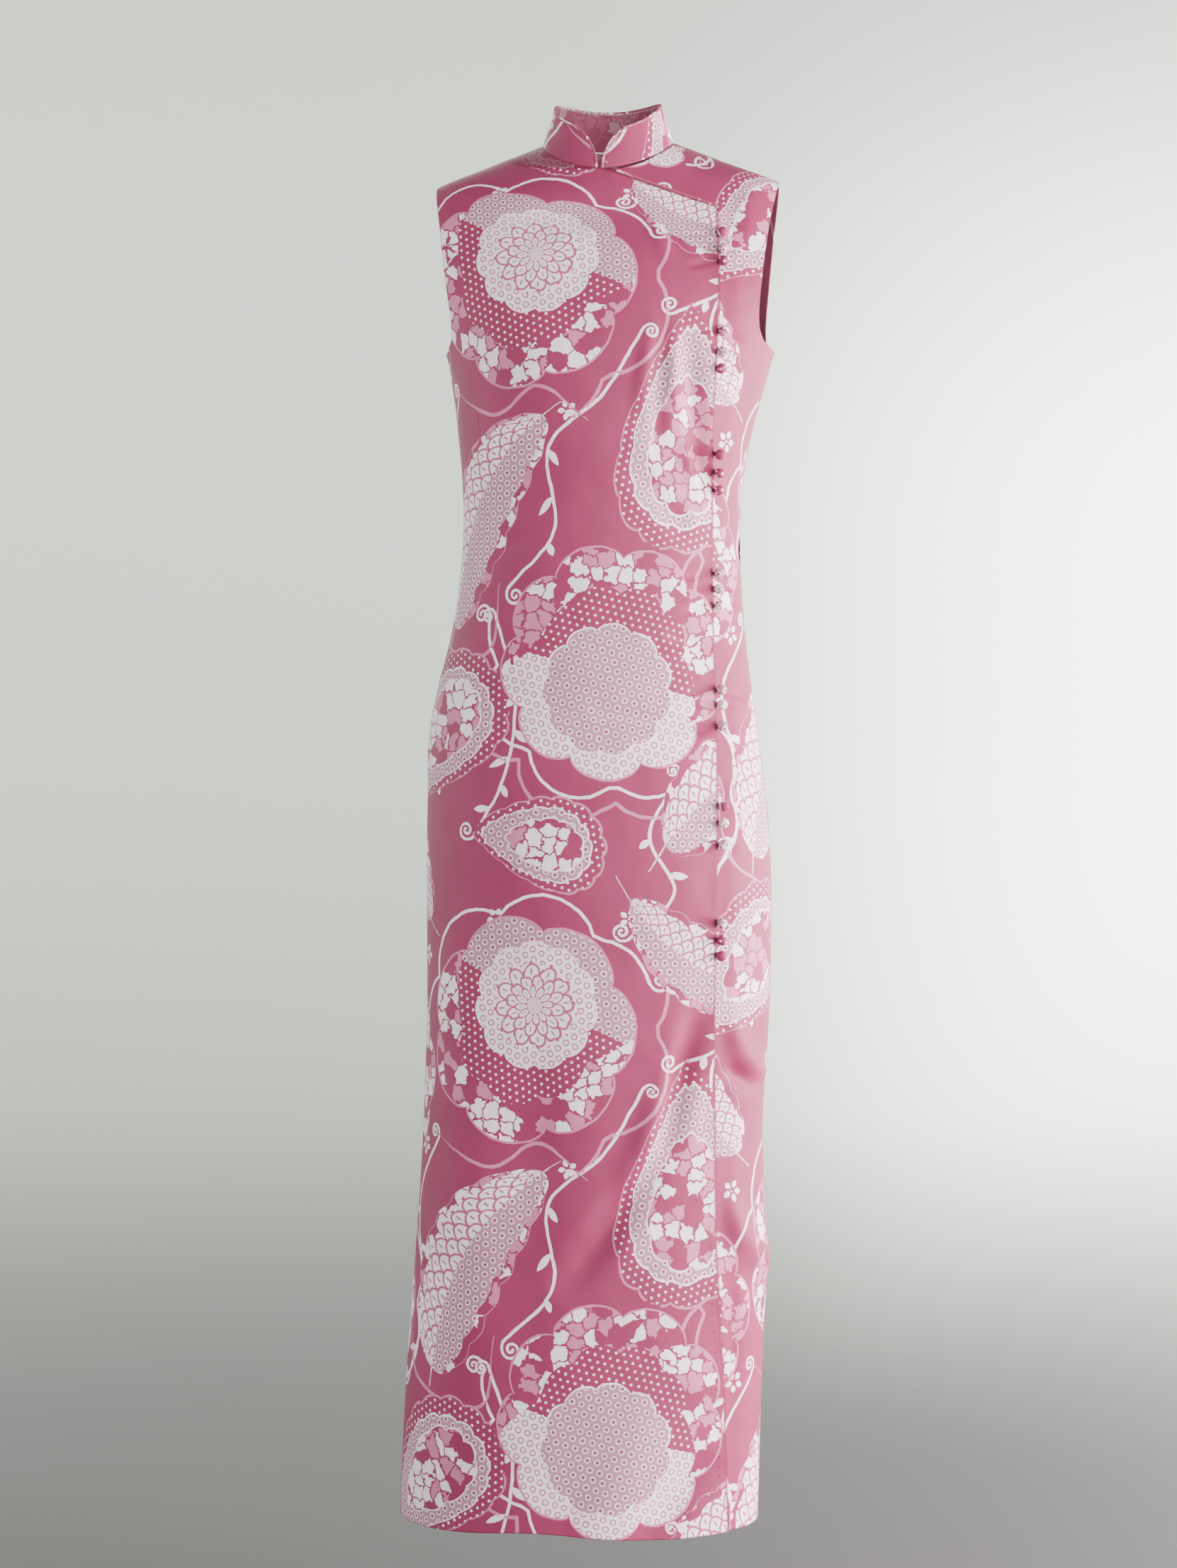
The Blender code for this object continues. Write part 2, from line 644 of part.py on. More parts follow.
def button_mesh():
    """The outline of a covered ball button on its shank, turned by the screw modifier."""
    low = -math.acos(SHANK_RADIUS / BALL_RADIUS)
    angles = np.linspace(math.pi / 2, low, BALL_POINTS)
    outline = [(BALL_RADIUS * math.cos(a), 0, BALL_HEIGHT + BALL_RADIUS * math.sin(a)) for a in angles]
    outline[0] = (0, 0, BALL_HEIGHT + BALL_RADIUS)
    outline += [(SHANK_RADIUS, 0, 0), (0, 0, 0)]
    mesh = bpy.data.meshes.new("button")
    mesh.from_pydata(outline, [(i, i + 1) for i in range(len(outline) - 1)], [])
    return mesh


def make_button(name, mesh, foot, normal, material, group):
    button = bpy.data.objects.new(name, mesh)
    group.objects.link(button)
    if not mesh.materials:
        mesh.materials.append(material)
    button.location = foot
    button.rotation_mode = "QUATERNION"
    button.rotation_quaternion = normal.to_track_quat("Z", "Y")
    turn = button.modifiers.new("turn", "SCREW")
    turn.steps = turn.render_steps = BALL_STEPS
    turn.use_merge_vertices = True
    turn.merge_threshold = MERGE_DISTANCE
    turn.use_smooth_shade = True


def make_fastening(number, z, faces, ball, materials, group):
    """A ball button and the loop that holds it, at a height on the overlap's edge."""
    cloth, piping = materials
    edge = edge_x(z)
    normal = form(np.array([edge]), np.array([z]), -1)[1][0]
    over = np.array([-normal[1], normal[0]]) / np.hypot(normal[0], normal[1])
    foot, normal = on_panel(faces, edge + over[0] * BUTTON_FROM_EDGE, z, BUTTON_SEAT)
    make_button(f"button_{number:02d}", ball, foot, normal, cloth, group)
    over = Vector((*over, 0)).normalized()
    rise = normal.cross(over)
    bend = np.linspace(math.pi / 2, -math.pi / 2, LOOP_POINTS)
    across = np.concatenate([[0], LOOP_RADIUS * np.cos(bend), [0]])
    along = np.concatenate([[LOOP_RADIUS], LOOP_RADIUS * np.sin(bend), [-LOOP_RADIUS]])
    across[[0, -1]] = SEAM_GAP + LOOP_WIRE / 2 - BUTTON_FROM_EDGE
    points = [
        seated(faces, foot + over * a + rise * h, normal, SEAM_GAP + LOOP_WIRE)
        for a, h in zip(across.tolist(), along.tolist())
    ]
    tube(f"loop_{number:02d}", np.array(points), LOOP_WIRE, piping, group)


def main():
    for obj in list(bpy.data.objects):
        bpy.data.objects.remove(obj, do_unlink=True)
    group = bpy.data.collections.new("column_dress")
    bpy.context.scene.collection.children.link(group)
    cloth = finish("printed_cotton", ROSE)
    piping = finish("piping_cotton", PALE_ROSE)
    faces = make_panels(cloth, group)
    make_collar(cloth, piping, group)
    make_slant_piping(faces, piping, group)
    ball = button_mesh()
    heights = [height for row in BUTTON_ROWS for height in row]
    for number, height in enumerate(heights, start=1):
        make_fastening(number, height, faces, ball, (cloth, piping), group)


main()
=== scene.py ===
"""Column dress: the looks of a sleeveless, full-length printed dress that buttons down one side.

Metres, +Z up, facing -Y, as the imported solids. The cloth panels, collar, pipings, buttons and
loops are drawn here on fine grids over the same form as the solids that they replace. The print
is a pattern of the script's own: round rosettes and drops with bands of petals, dots and broken
patches, between vines that end in curls.
"""

import logging
import math
from dataclasses import dataclass, field
from enum import Enum
from typing import Callable, NamedTuple, Sequence

import bpy
import numpy as np
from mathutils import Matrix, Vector
from mathutils.bvhtree import BVHTree


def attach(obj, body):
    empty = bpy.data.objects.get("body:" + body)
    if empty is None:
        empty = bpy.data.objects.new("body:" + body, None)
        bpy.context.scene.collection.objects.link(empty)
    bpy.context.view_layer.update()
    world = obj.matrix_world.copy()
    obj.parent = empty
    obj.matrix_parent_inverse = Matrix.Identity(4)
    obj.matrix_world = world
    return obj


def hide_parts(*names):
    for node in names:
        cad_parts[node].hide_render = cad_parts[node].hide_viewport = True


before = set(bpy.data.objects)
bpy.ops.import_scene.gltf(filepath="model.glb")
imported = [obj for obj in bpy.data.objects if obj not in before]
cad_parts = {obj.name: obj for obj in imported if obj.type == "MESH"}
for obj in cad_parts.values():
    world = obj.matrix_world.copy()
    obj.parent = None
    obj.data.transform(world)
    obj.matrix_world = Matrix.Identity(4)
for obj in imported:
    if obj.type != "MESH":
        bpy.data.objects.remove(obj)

LOG = logging.getLogger("column_dress")
Array = np.ndarray
Row = tuple[float, ...]
Materials = Sequence[bpy.types.Material]


def smooth_step(t: Array) -> Array:
    """Rises softly from 0 to 1: t squared times (3 - 2t), with t held between 0 and 1."""
    t = np.clip(t, 0.0, 1.0)
    return t * t * (3 - 2 * t)


def linked(name: str, data: bpy.types.ID) -> bpy.types.Object:
    """A new object in the scene for a mesh, a camera or a light."""
    obj = bpy.data.objects.new(name, data)
    bpy.context.scene.collection.objects.link(obj)
    return obj


def units(vectors: Array) -> Array:
    """Vectors of length one."""
    return vectors / np.maximum(np.linalg.norm(vectors, axis=-1, keepdims=True), 1e-12)


@dataclass(frozen=True)
class Table:
    """A short table with named columns, read along a smooth curve through its rows."""

    columns: tuple[str, ...]
    rows: tuple[Row, ...]

    def at(self, name: str, place: Array | float) -> Array:
        """Reads a column between the rows.

        Between two rows the curve is a cubic that keeps the slope of their neighbours at both
        ends. Past the ends the value stays.

        Args:
            name: The column to read.
            place: Where to read it, in the units of the first column.

        Returns:
            The values there.
        """
        table = np.array(sorted(self.rows))
        knots, values = table[:, 0], table[:, self.columns.index(name)]
        slopes = np.gradient(values, knots)
        place = np.clip(np.asarray(place, float), knots[0], knots[-1])
        i = np.clip(np.searchsorted(knots, place) - 1, 0, len(knots) - 2)
        span = knots[i + 1] - knots[i]
        t = (place - knots[i]) / span
        start = (1 + 2 * t) * (1 - t) ** 2 * values[i] + t * (1 - t) ** 2 * span * slopes[i]
        end = t**2 * (3 - 2 * t) * values[i + 1] + t**2 * (t - 1) * span * slopes[i + 1]
        return start + end


class Facing(Enum):
    """Which half of the dress a panel belongs to, with its sign along Y."""

    FRONT = -1
    BACK = 1


@dataclass(frozen=True)
class Cloth:
    """How thick the cloth is, how thin its edge gets and how far apart sewn pieces lie."""

    wall: float = 0.0015
    thinnest: float = 0.06
    seam_gap: float = 0.0003


@dataclass(frozen=True)
class Folds:
    """Folds of a panel: the ends of each middle line, its half width and its depth."""

    rows: tuple[Row, ...]
    ripple: float = 0.8
    wander: float = 0.0025
    wander_length: float = 0.055

    def height(self, x: Array, z: Array) -> Array:
        """How far the folds lift or sink the surface.

        Across a fold s is the distance over its half width, and the ripple is
        (1 - 0.8 s^2) exp(-s^2). Along it the ripple swells as half a sine wave. The lines wander
        a little, because both coordinates are shifted by slow sine waves.

        Args:
            x: Places across.
            z: Heights.

        Returns:
            The lift, above nought outwards.
        """
        length = self.wander_length
        a = x + self.wander * np.sin(z / length + 1.7 * np.sin(x / length))
        b = z + self.wander * np.sin(x / length * 1.3 + 1.1)
        total = np.zeros(np.broadcast(x, z).shape)
        for x0, z0, x1, z1, width, depth in self.rows:
            reach = math.hypot(x1 - x0, z1 - z0)
            run_x, run_z = (x1 - x0) / reach, (z1 - z0) / reach
            along = np.clip(((a - x0) * run_x + (b - z0) * run_z) / reach, 0, 1)
            across = ((b - z0) * run_x - (a - x0) * run_z) / width
            wave = (1 - self.ripple * across**2) * np.exp(-(across**2))
            total = total + depth * wave * np.sin(math.pi * along)
        return total


def soft_noise(x: Array, z: Array, length: float, seed: int, waves: int = 14) -> Array:
    """Smooth random hills about one high: a sum of sine waves of one length in all directions.

    Args:
        x: Places across.
        z: Heights.
        length: The wave length in metres.
        seed: Picks the directions and phases.
        waves: How many waves are added.

    Returns:
        The height of the hills.
    """
    rng = np.random.default_rng(seed)
    total = np.zeros(np.broadcast(x, z).shape)
    for turn, phase, stretch in rng.uniform((0, 0, 0.7), (math.pi, 6.28, 1.4), (waves, 3)):
        wave = 2 * math.pi / (length * stretch)
        total += np.sin(wave * (x * math.cos(turn) + z * math.sin(turn)) + phase)
    return total / math.sqrt(waves / 2)


@dataclass(frozen=True)
class WornShape:
    """The dress's shape as worn: level sections, shoulders, armholes and the overlap's lines."""

    body: Table = Table(
        ("height", "centre", "half_width", "front", "back", "power"),
        (
            (0.020, 0.0000, 0.2050, 0.089, 0.057, 0.98),
            (-0.040, 0.0000, 0.2050, 0.082, 0.066, 0.98),
            (-0.080, 0.0000, 0.2040, 0.087, 0.079, 0.96),
            (-0.126, 0.0000, 0.1990, 0.103, 0.088, 0.94),
            (-0.160, 0.0005, 0.1900, 0.114, 0.090, 0.93),
            (-0.190, 0.0014, 0.1770, 0.121, 0.089, 0.93),
            (-0.214, 0.0022, 0.1668, 0.125, 0.087, 0.93),
            (-0.250, 0.0004, 0.1580, 0.127, 0.084, 0.93),
            (-0.290, -0.0027, 0.1500, 0.123, 0.080, 0.94),
            (-0.340, -0.0052, 0.1430, 0.113, 0.074, 0.95),
            (-0.400, -0.0066, 0.1410, 0.104, 0.070, 0.95),
            (-0.450, -0.0080, 0.1438, 0.102, 0.077, 0.95),
            (-0.500, -0.0103, 0.1498, 0.105, 0.090, 0.95),
            (-0.550, -0.0137, 0.1595, 0.109, 0.103, 0.95),
            (-0.600, -0.0149, 0.1677, 0.113, 0.112, 0.95),
            (-0.660, -0.0117, 0.1720, 0.117, 0.117, 0.94),
            (-0.720, -0.0099, 0.1747, 0.120, 0.116, 0.93),
            (-0.860, -0.0098, 0.1742, 0.121, 0.110, 0.91),
            (-1.000, -0.0155, 0.1726, 0.119, 0.106, 0.90),
            (-1.120, -0.0171, 0.1788, 0.120, 0.107, 0.90),
            (-1.250, -0.0247, 0.1808, 0.122, 0.109, 0.90),
            (-1.400, -0.0300, 0.1822, 0.124, 0.111, 0.90),
        ),
    )
    armhole: Table = Table(
        ("height", "front", "back"),
        (
            (-0.042, 0.1740, 0.1740),
            (-0.060, 0.1712, 0.1716),
            (-0.085, 0.1665, 0.1680),
            (-0.115, 0.1622, 0.1648),
            (-0.145, 0.1585, 0.1618),
            (-0.170, 0.1555, 0.1592),
            (-0.190, 0.1540, 0.1580),
            (-0.203, 0.1555, 0.1592),
            (-0.211, 0.1605, 0.1625),
            (-0.214, 0.1668, 0.1668),
        ),
    )
    slant: Table = Table(
        ("across", "height"),
        (
            (-0.0030, -0.0147),
            (0.0125, -0.0190),
            (0.0307, -0.0272),
            (0.0911, -0.0575),
            (0.1133, -0.0720),
        ),
    )
    edge: Table = Table(
        ("height", "across"),
        (
            (-0.0720, 0.1133),
            (-0.1670, 0.1160),
            (-0.2890, 0.1110),
            (-0.4726, 0.1090),
            (-0.5443, 0.1112),
            (-0.6175, 0.1137),
            (-0.9100, 0.1119),
            (-1.1040, 0.1137),
            (-1.2377, 0.1200),
            (-1.3870, 0.1245),
        ),
    )
    underlap: Table = Table(
        ("share", "across", "height"),
        (
            (0.00, -0.0060, -0.0147),
            (0.35, 0.0180, -0.0480),
            (0.70, 0.0560, -0.0830),
            (1.00, 0.0850, -0.1260),
        ),
    )
    cloth: Cloth = Cloth()
    neck_half: float = 0.066
    neck_depth: float = 0.062
    neck_dip: float = 0.01475
    notch: float = -0.003
    shoulder_tip: tuple[float, float] = (0.174, -0.042)
    shoulder_bend: float = 0.030
    shoulder_rounding: float = 0.065
    neck_lean: float = 0.333
    lean_top: float = -0.010
    lean_foot: float = -0.126
    lean_half: tuple[float, float] = (0.080, 0.170)
    underarm: float = -0.214
    hem: float = -1.387
    hem_lift: tuple[float, float, float] = (0.007, -0.06, 0.07)
    hem_stretch: float = 0.1
    fold_fade: float = 0.25
    lap_width: float = 0.030
    lap_gap: float = 0.0006
    lap_gap_chest: float = 0.0006
    lap_ease_start: float = 0.003
    lap_ease_start_chest: float = 0.012
    lap_ease: float = 0.018
    lap_chest_rise: float = 0.030

    @property
    def chest(self) -> float:
        """The level where the shaped upper part ends and level rows begin."""
        return 3 * self.shoulder_tip[1]

    @property
    def corner(self) -> tuple[float, float]:
        """Where the slant turns into the long edge."""
        return self.slant.rows[-1][0], self.slant.rows[-1][1]

    @property
    def neck_reach(self) -> float:
        """The length that the shoulder line is measured from, at the neck."""
        return math.hypot(self.neck_half, self.shoulder_bend)

    @property
    def shoulder_slope(self) -> float:
        """The shoulder line's fall for each metre outwards."""
        tip = math.hypot(self.shoulder_tip[0], self.shoulder_bend)
        return self.shoulder_tip[1] / (tip - self.neck_reach)

    def shoulder_height(self, x: Array) -> Array:
        """The height of the shoulder seam: two straight slopes with a bend between."""
        return self.shoulder_slope * (np.hypot(x, self.shoulder_bend) - self.neck_reach)

    def fullness(self, x: Array, z: Array) -> Array:
        """How far the section reaches: 1 in the middle, 0 at the side and shoulder seams.

        It is (1 - s^2) times u(2 - u), where s is the place across over the half width and u the
        distance under the shoulder line over the shoulder's rounding.
        """
        across = 1 - ((x - self.body.at("centre", z)) / self.body.at("half_width", z)) ** 2
        below = np.minimum((self.shoulder_height(x) - z) / self.shoulder_rounding, 1.0)
        return across * below * (2 - below)

    def reach(self, z: Array, facing: Facing) -> Array:
        """The depth of the section in front of or behind the side seams."""
        return self.body.at(facing.name.lower(), z)

    def depth(self, x: Array, z: Array, facing: Facing) -> Array:
        """Y on the form: the reach times the fullness to half the section's power."""
        full = np.clip(self.fullness(x, z), 0, None)
        return facing.value * self.reach(z, facing) * full ** (self.body.at("power", z) / 2)

    def lean(self, x: Array, z: Array) -> Array:
        """How much a point near the neck rises for each metre that it lies further back."""
        near = smooth_step((z - self.lean_foot) / (self.lean_top - self.lean_foot))
        low, high = self.lean_half
        return self.neck_lean * near * (1 - smooth_step((np.abs(x) - low) / (high - low)))

    def surface(self, x: Array, z: Array, facing: Facing) -> tuple[Array, Array]:
        """Points on the form and the normals there.

        The normal is the slope of the function that is nought on the surface,
        (|y| / reach)^(2 / power) - fullness, turned by the lean.

        Args:
            x: Places across.
            z: Heights before the lean.
            facing: The half of the dress.

        Returns:
            The points and the outward unit normals.
        """
        y = self.depth(x, z, facing)

        def level(x: Array, y: Array, z: Array) -> Array:
            """Nought on the surface and above it outside."""
            power = 2 / self.body.at("power", z)
            return (np.abs(y) / self.reach(z, facing)) ** power - self.fullness(x, z)

        step = 1e-5
        normal = np.stack(
            [
                level(x + step, y, z) - level(x - step, y, z),
                level(x, y + step, z) - level(x, y - step, z),
                level(x, y, z + step) - level(x, y, z - step),
            ],
            axis=-1,
        )
        shear = self.lean(x, z)
        shear_x = (self.lean(x + step, z) - self.lean(x - step, z)) / (2 * step)
        shear_z = (self.lean(x, z + step) - self.lean(x, z - step)) / (2 * step)
        normal[..., 2] /= 1 + shear_z * y
        normal[..., 1] -= shear * normal[..., 2]
        normal[..., 0] -= shear_x * y * normal[..., 2]
        return np.stack([x, y, z + shear * y], axis=-1), units(normal)

    def slant_height(self, x: Array) -> Array:
        """The height of the slant, which runs on straight past the corner."""
        last, before = self.slant.rows[-1], self.slant.rows[-2]
        slope = (last[1] - before[1]) / (last[0] - before[0])
        return self.slant.at("height", x) + np.maximum(x - last[0], 0) * slope

    def beyond_overlap(self, x: Array, z: Array) -> Array:
        """How far a point lies past the overlap's edge, below nought where it is covered."""
        first, last = self.slant.rows[0], self.slant.rows[-1]
        rise = (last[1] - first[1]) / (last[0] - first[0])
        above = (z - self.slant_height(x)) * math.cos(math.atan(rise))
        return np.maximum(above, x - self.edge.at("across", z))

    def neck_points(self, angle: Array) -> Array:
        """The neck seam across and in height, for angles from 0 in front to a right angle at +X."""
        height = -self.neck_dip * np.cos(angle) ** 2
        return np.stack([self.neck_half * np.sin(angle), height], axis=-1)

    def half_width(self, z: Array, facing: Facing) -> Array:
        """How far a panel reaches from the middle: to the shoulder, the armhole or the side."""
        fall = self.neck_reach + np.minimum(z, 0) / self.shoulder_slope
        shoulder = np.sqrt(fall**2 - self.shoulder_bend**2)
        armhole = self.armhole.at(facing.name.lower(), z)
        lower = np.where(z > self.underarm, armhole, self.body.at("half_width", z))
        return np.where(z > self.shoulder_tip[1], shoulder, lower)

    def hem_height(self, x: Array, facing: Facing) -> Array:
        """The hem's line, a little higher left of the middle in front."""
        lift, middle, width = self.hem_lift
        share = 1.0 if facing is Facing.FRONT else 0.0
        return self.hem + share * lift * np.exp(-(((x - middle) / width) ** 2))


FORM = WornShape()


class Unrolled:
    """Lays the form flat: distances along the cloth instead of distances across and in height."""

    columns: int = 241
    rows: int = 281
    margin: float = 0.01
    top: float = 0.02
    near: float = 1e-4

    def __init__(self, facing: Facing, steepest: float = 1.6, side_steepest: float = 30.0) -> None:
        """Adds up the lengths along the surface on a fine grid, across and above the chest.

        The grid's columns stand at even angles t, where x is the section's middle plus its half
        width times sin t, so that they crowd at the side seams. Across, u is the sum of
        sqrt(1 + slope^2) dx. Upwards, v is the height plus the sum of sqrt(1 + slope^2) - 1.

        Args:
            facing: The half of the dress.
            steepest: The most that a slope counts above the chest, where rows meet the shoulder.
            side_steepest: The most that a slope counts below the arms.
        """
        self.turn = np.linspace(-math.pi / 2, math.pi / 2, self.columns)
        self.z = np.linspace(FORM.hem - self.margin, self.top, self.rows)
        z = self.z[:, None]
        centre = FORM.body.at("centre", z)
        x = centre + FORM.body.at("half_width", z) * np.sin(self.turn)
        free = smooth_step((FORM.chest - z) / (FORM.chest - FORM.underarm))
        limit = steepest + (side_steepest - steepest) * free
        step = np.diff(x, axis=1)
        slope = np.abs(np.diff(FORM.depth(x, z, facing), axis=1)) / step
        run = np.cumsum(step * np.sqrt(1 + np.minimum(slope, limit) ** 2), axis=1)
        run = np.concatenate([np.zeros_like(z), run], axis=1)
        self.u = run - run[:, [len(self.turn) // 2]] + centre
        above, below = (FORM.depth(x, z + way * self.near, facing) for way in (1, -1))
        slope = (above - below) / (2 * self.near)
        rise = np.sqrt(1 + np.minimum(np.abs(slope), steepest) ** 2) - 1
        rise = np.where(z > FORM.underarm, rise, 0)
        self.v = z + np.cumsum(rise, axis=0) * (self.z[1] - self.z[0])

    def at(self, x: Array, z: Array) -> Array:
        """The flat place of points of the form, read between the grid's four nearest points."""
        share = (x - FORM.body.at("centre", z)) / FORM.body.at("half_width", z)
        turn = np.arcsin(np.clip(share, -1, 1))
        i = np.clip((turn - self.turn[0]) / (self.turn[1] - self.turn[0]), 0, len(self.turn) - 1.001)
        j = np.clip((z - self.z[0]) / (self.z[1] - self.z[0]), 0, len(self.z) - 1.001)
        i0, j0 = i.astype(int), j.astype(int)
        a, b = i - i0, j - j0
        flat = []
        for values in (self.u, self.v):
            low = values[j0, i0] * (1 - a) + values[j0, i0 + 1] * a
            high = values[j0 + 1, i0] * (1 - a) + values[j0 + 1, i0 + 1] * a
            flat.append(low * (1 - b) + high * b)
        return np.stack(flat, axis=-1)


def blended_patch(top: Array, bottom: Array, left: Array, right: Array) -> Array:
    """Fills four edge curves: straight blends both ways, less the blend of the corners."""
    k = np.linspace(0, 1, len(left))[:, None, None]
    f = np.linspace(0, 1, len(top))[None, :, None]
    down = (1 - k) * top[None] + k * bottom[None]
    over = (1 - f) * left[:, None] + f * right[:, None]
    upper = (1 - f) * top[0] + f * top[-1]
    lower = (1 - f) * bottom[0] + f * bottom[-1]
    return down + over - ((1 - k) * upper + k * lower)


def fine_border(grid: Array, steps: Sequence[float]) -> Array:
    """Adds lines close to a grid's four edges, so that the cloth can be rounded there.

    Args:
        grid: Points across and in height, rows by columns.
        steps: Distances of the new lines from the edge.

    Returns:
        The finer grid.
    """
    for axis in (0, 1, 0, 1):
        grid = np.flip(grid, axis)
        edge, inward = np.take(grid, [0], axis), np.take(grid, [1], axis)
        gap = np.linalg.norm(inward - edge, axis=-1, keepdims=True)
        shares = [np.minimum(step / gap, (i + 1) / (len(steps) + 1)) for i, step in enumerate(steps)]
        lines = [edge + (inward - edge) * share for share in shares]
        grid = np.concatenate([edge, *lines, np.delete(grid, 0, axis)], axis)
    return grid


def border_distance(grid: Array) -> Array:
    """How far each point of a grid lies from the nearest of its four edges, along the lines."""
    near = np.full(grid.shape[:2], np.inf)
    for axis in (0, 1):
        steps = np.linalg.norm(np.diff(grid, axis=axis), axis=-1)
        run = np.concatenate([np.zeros_like(np.take(steps, [0], axis)), np.cumsum(steps, axis)], axis)
        near = np.minimum(near, np.minimum(run, np.take(run, [-1], axis) - run))
    return near


@dataclass
class Piece:
    """A mesh in the making: points, faces, flat cloth places and which faces are reverse side.

    Its seam distances tell the shader how far each point lies from a seam or a lapped edge, where it paints
    shade.
    """

    points: Array
    faces: Array
    flat: Array
    reverse: Array
    seam: Array | None = None

    def build(self, name: str, materials: Materials) -> bpy.types.Object:
        """Makes the object, smooth, with its flat cloth map and its materials.

        Args:
            name: The object's name.
            materials: The right side's material, then the reverse side's if there is one.

        Returns:
            The object, at the origin.
        """
        mesh = bpy.data.meshes.new(name)
        mesh.vertices.add(len(self.points))
        mesh.vertices.foreach_set("co", self.points.astype(np.float32).ravel())
        sides = self.faces.shape[1]
        mesh.loops.add(self.faces.size)
        mesh.loops.foreach_set("vertex_index", self.faces.astype(np.int32).ravel())
        mesh.polygons.add(len(self.faces))
        mesh.polygons.foreach_set("loop_start", np.arange(len(self.faces), dtype=np.int32) * sides)
        mesh.update(calc_edges=True)
        mesh.validate()
        mesh.shade_smooth()
        layer = mesh.uv_layers.new(name="cloth_cut")
        layer.uv.foreach_set("vector", self.flat[self.faces.ravel()].astype(np.float32).ravel())
        seam = np.ones(len(self.points)) if self.seam is None else self.seam
        gaps = mesh.attributes.new("seam_gap", "FLOAT", "POINT")
        gaps.data.foreach_set("value", seam.astype(np.float32))
        for material in materials:
            mesh.materials.append(material)
        index = np.where(self.reverse & (len(materials) > 1), 1, 0).astype(np.int32)
        mesh.polygons.foreach_set("material_index", index)
        return linked(name, mesh)

    def face_places(self) -> Array:
        """The flat place of the middle of each face."""
        return self.flat[self.faces].mean(axis=1)


def joined(pieces: Sequence[Piece]) -> Piece:
    """Several pieces as one, with their point numbers counted on."""
    starts = np.cumsum([0] + [len(piece.points) for piece in pieces[:-1]])
    return Piece(
        np.concatenate([piece.points for piece in pieces]),
        np.concatenate([piece.faces + start for piece, start in zip(pieces, starts)]),
        np.concatenate([piece.flat for piece in pieces]),
        np.concatenate([piece.reverse for piece in pieces]),
    )


def quads(a: Array, b: Array, c: Array, d: Array) -> Array:
    """Faces from four equal arrays of point numbers."""
    return np.stack([a.ravel(), b.ravel(), c.ravel(), d.ravel()], axis=1)


def outward(points: Array, faces: Array) -> Array:
    """Turns a closed shape's faces so that its volume, summed over them, is above nought."""
    a, b, c, d = (points[faces[:, k]] for k in range(4))
    volume = np.sum(a * np.cross(b, c)) + np.sum(a * np.cross(c, d))
    return faces if volume > 0 else faces[:, ::-1]


def ring_faces(rings: int, sides: int) -> Array:
    """Faces of a row of rings, with both ends closed by strips of four-sided faces."""
    index = np.arange(rings * sides).reshape(rings, sides)
    after = np.roll(index, -1, axis=1)
    k = np.arange(sides // 2 - 1)
    parts = [quads(index[:-1], after[:-1], after[1:], index[1:])]
    for ring in (index[0][::-1], index[-1]):
        parts.append(quads(ring[k], ring[k + 1], ring[sides - 2 - k], ring[sides - 1 - k]))
    return np.concatenate(parts)


def wall_piece(outer: Array, inner: Array, flat: Array) -> Piece:
    """A closed wall: an outer and an inner grid, and a strip along each of their four edges.

    Args:
        outer: The outer points, rows by columns.
        inner: The inner points.
        flat: The flat cloth places of both.

    Returns:
        The wall, with its inner grid marked as the reverse side.
    """
    rows, columns = outer.shape[:2]
    top = np.arange(rows * columns).reshape(rows, columns)
    low = top + rows * columns
    parts = [
        quads(top[:-1, :-1], top[1:, :-1], top[1:, 1:], top[:-1, 1:]),
        quads(top[0, :-1], top[0, 1:], low[0, 1:], low[0, :-1]),
        quads(top[-1, 1:], top[-1, :-1], low[-1, :-1], low[-1, 1:]),
        quads(top[1:, 0], top[:-1, 0], low[:-1, 0], low[1:, 0]),
        quads(top[:-1, -1], top[1:, -1], low[1:, -1], low[:-1, -1]),
        quads(low[:-1, :-1], low[:-1, 1:], low[1:, 1:], low[1:, :-1]),
    ]
    points = np.concatenate([outer.reshape(-1, 3), inner.reshape(-1, 3)])
    faces = outward(points, np.concatenate(parts))
    reverse = np.arange(len(faces)) >= len(faces) - len(parts[-1])
    doubled = np.concatenate([flat.reshape(-1, 2)] * 2)
    return Piece(points, faces, doubled, reverse)


def rounded_wall(middle: Array, normal: Array, border: Array, flat: Array) -> tuple[Array, Piece]:
    """A wall round a middle face that thins to a round edge.

    Within the last half wall h its half thickness is sqrt(1 - (1 - b / h)^2) of h, where b is the
    distance from the border.

    Args:
        middle: The middle face's points, rows by columns.
        normal: The outward normals there.
        border: How far each point lies from the border.
        flat: The flat cloth places.

    Returns:
        The outer face's points, and the wall.
    """
    half = FORM.cloth.wall / 2
    depth = np.clip(border / half, FORM.cloth.thinnest, 1)
    half_thickness = half * np.sqrt(1 - (1 - depth) ** 2)
    reach = normal * half_thickness[..., None]
    outer = middle + reach
    return outer, wall_piece(outer, middle - reach, flat)


@dataclass(frozen=True)
class Fineness:
    """How many lines the panels' grids have."""

    top_rows: int = 40
    armhole_rows: int = 30
    body_rows: int = 320
    neck_columns: int = 44
    slant_columns: int = 34
    lap_columns: int = 10
    side_columns: int = 34
    back_columns: int = 104
    border: tuple[float, ...] = (0.0003, 0.0008, 0.0018)


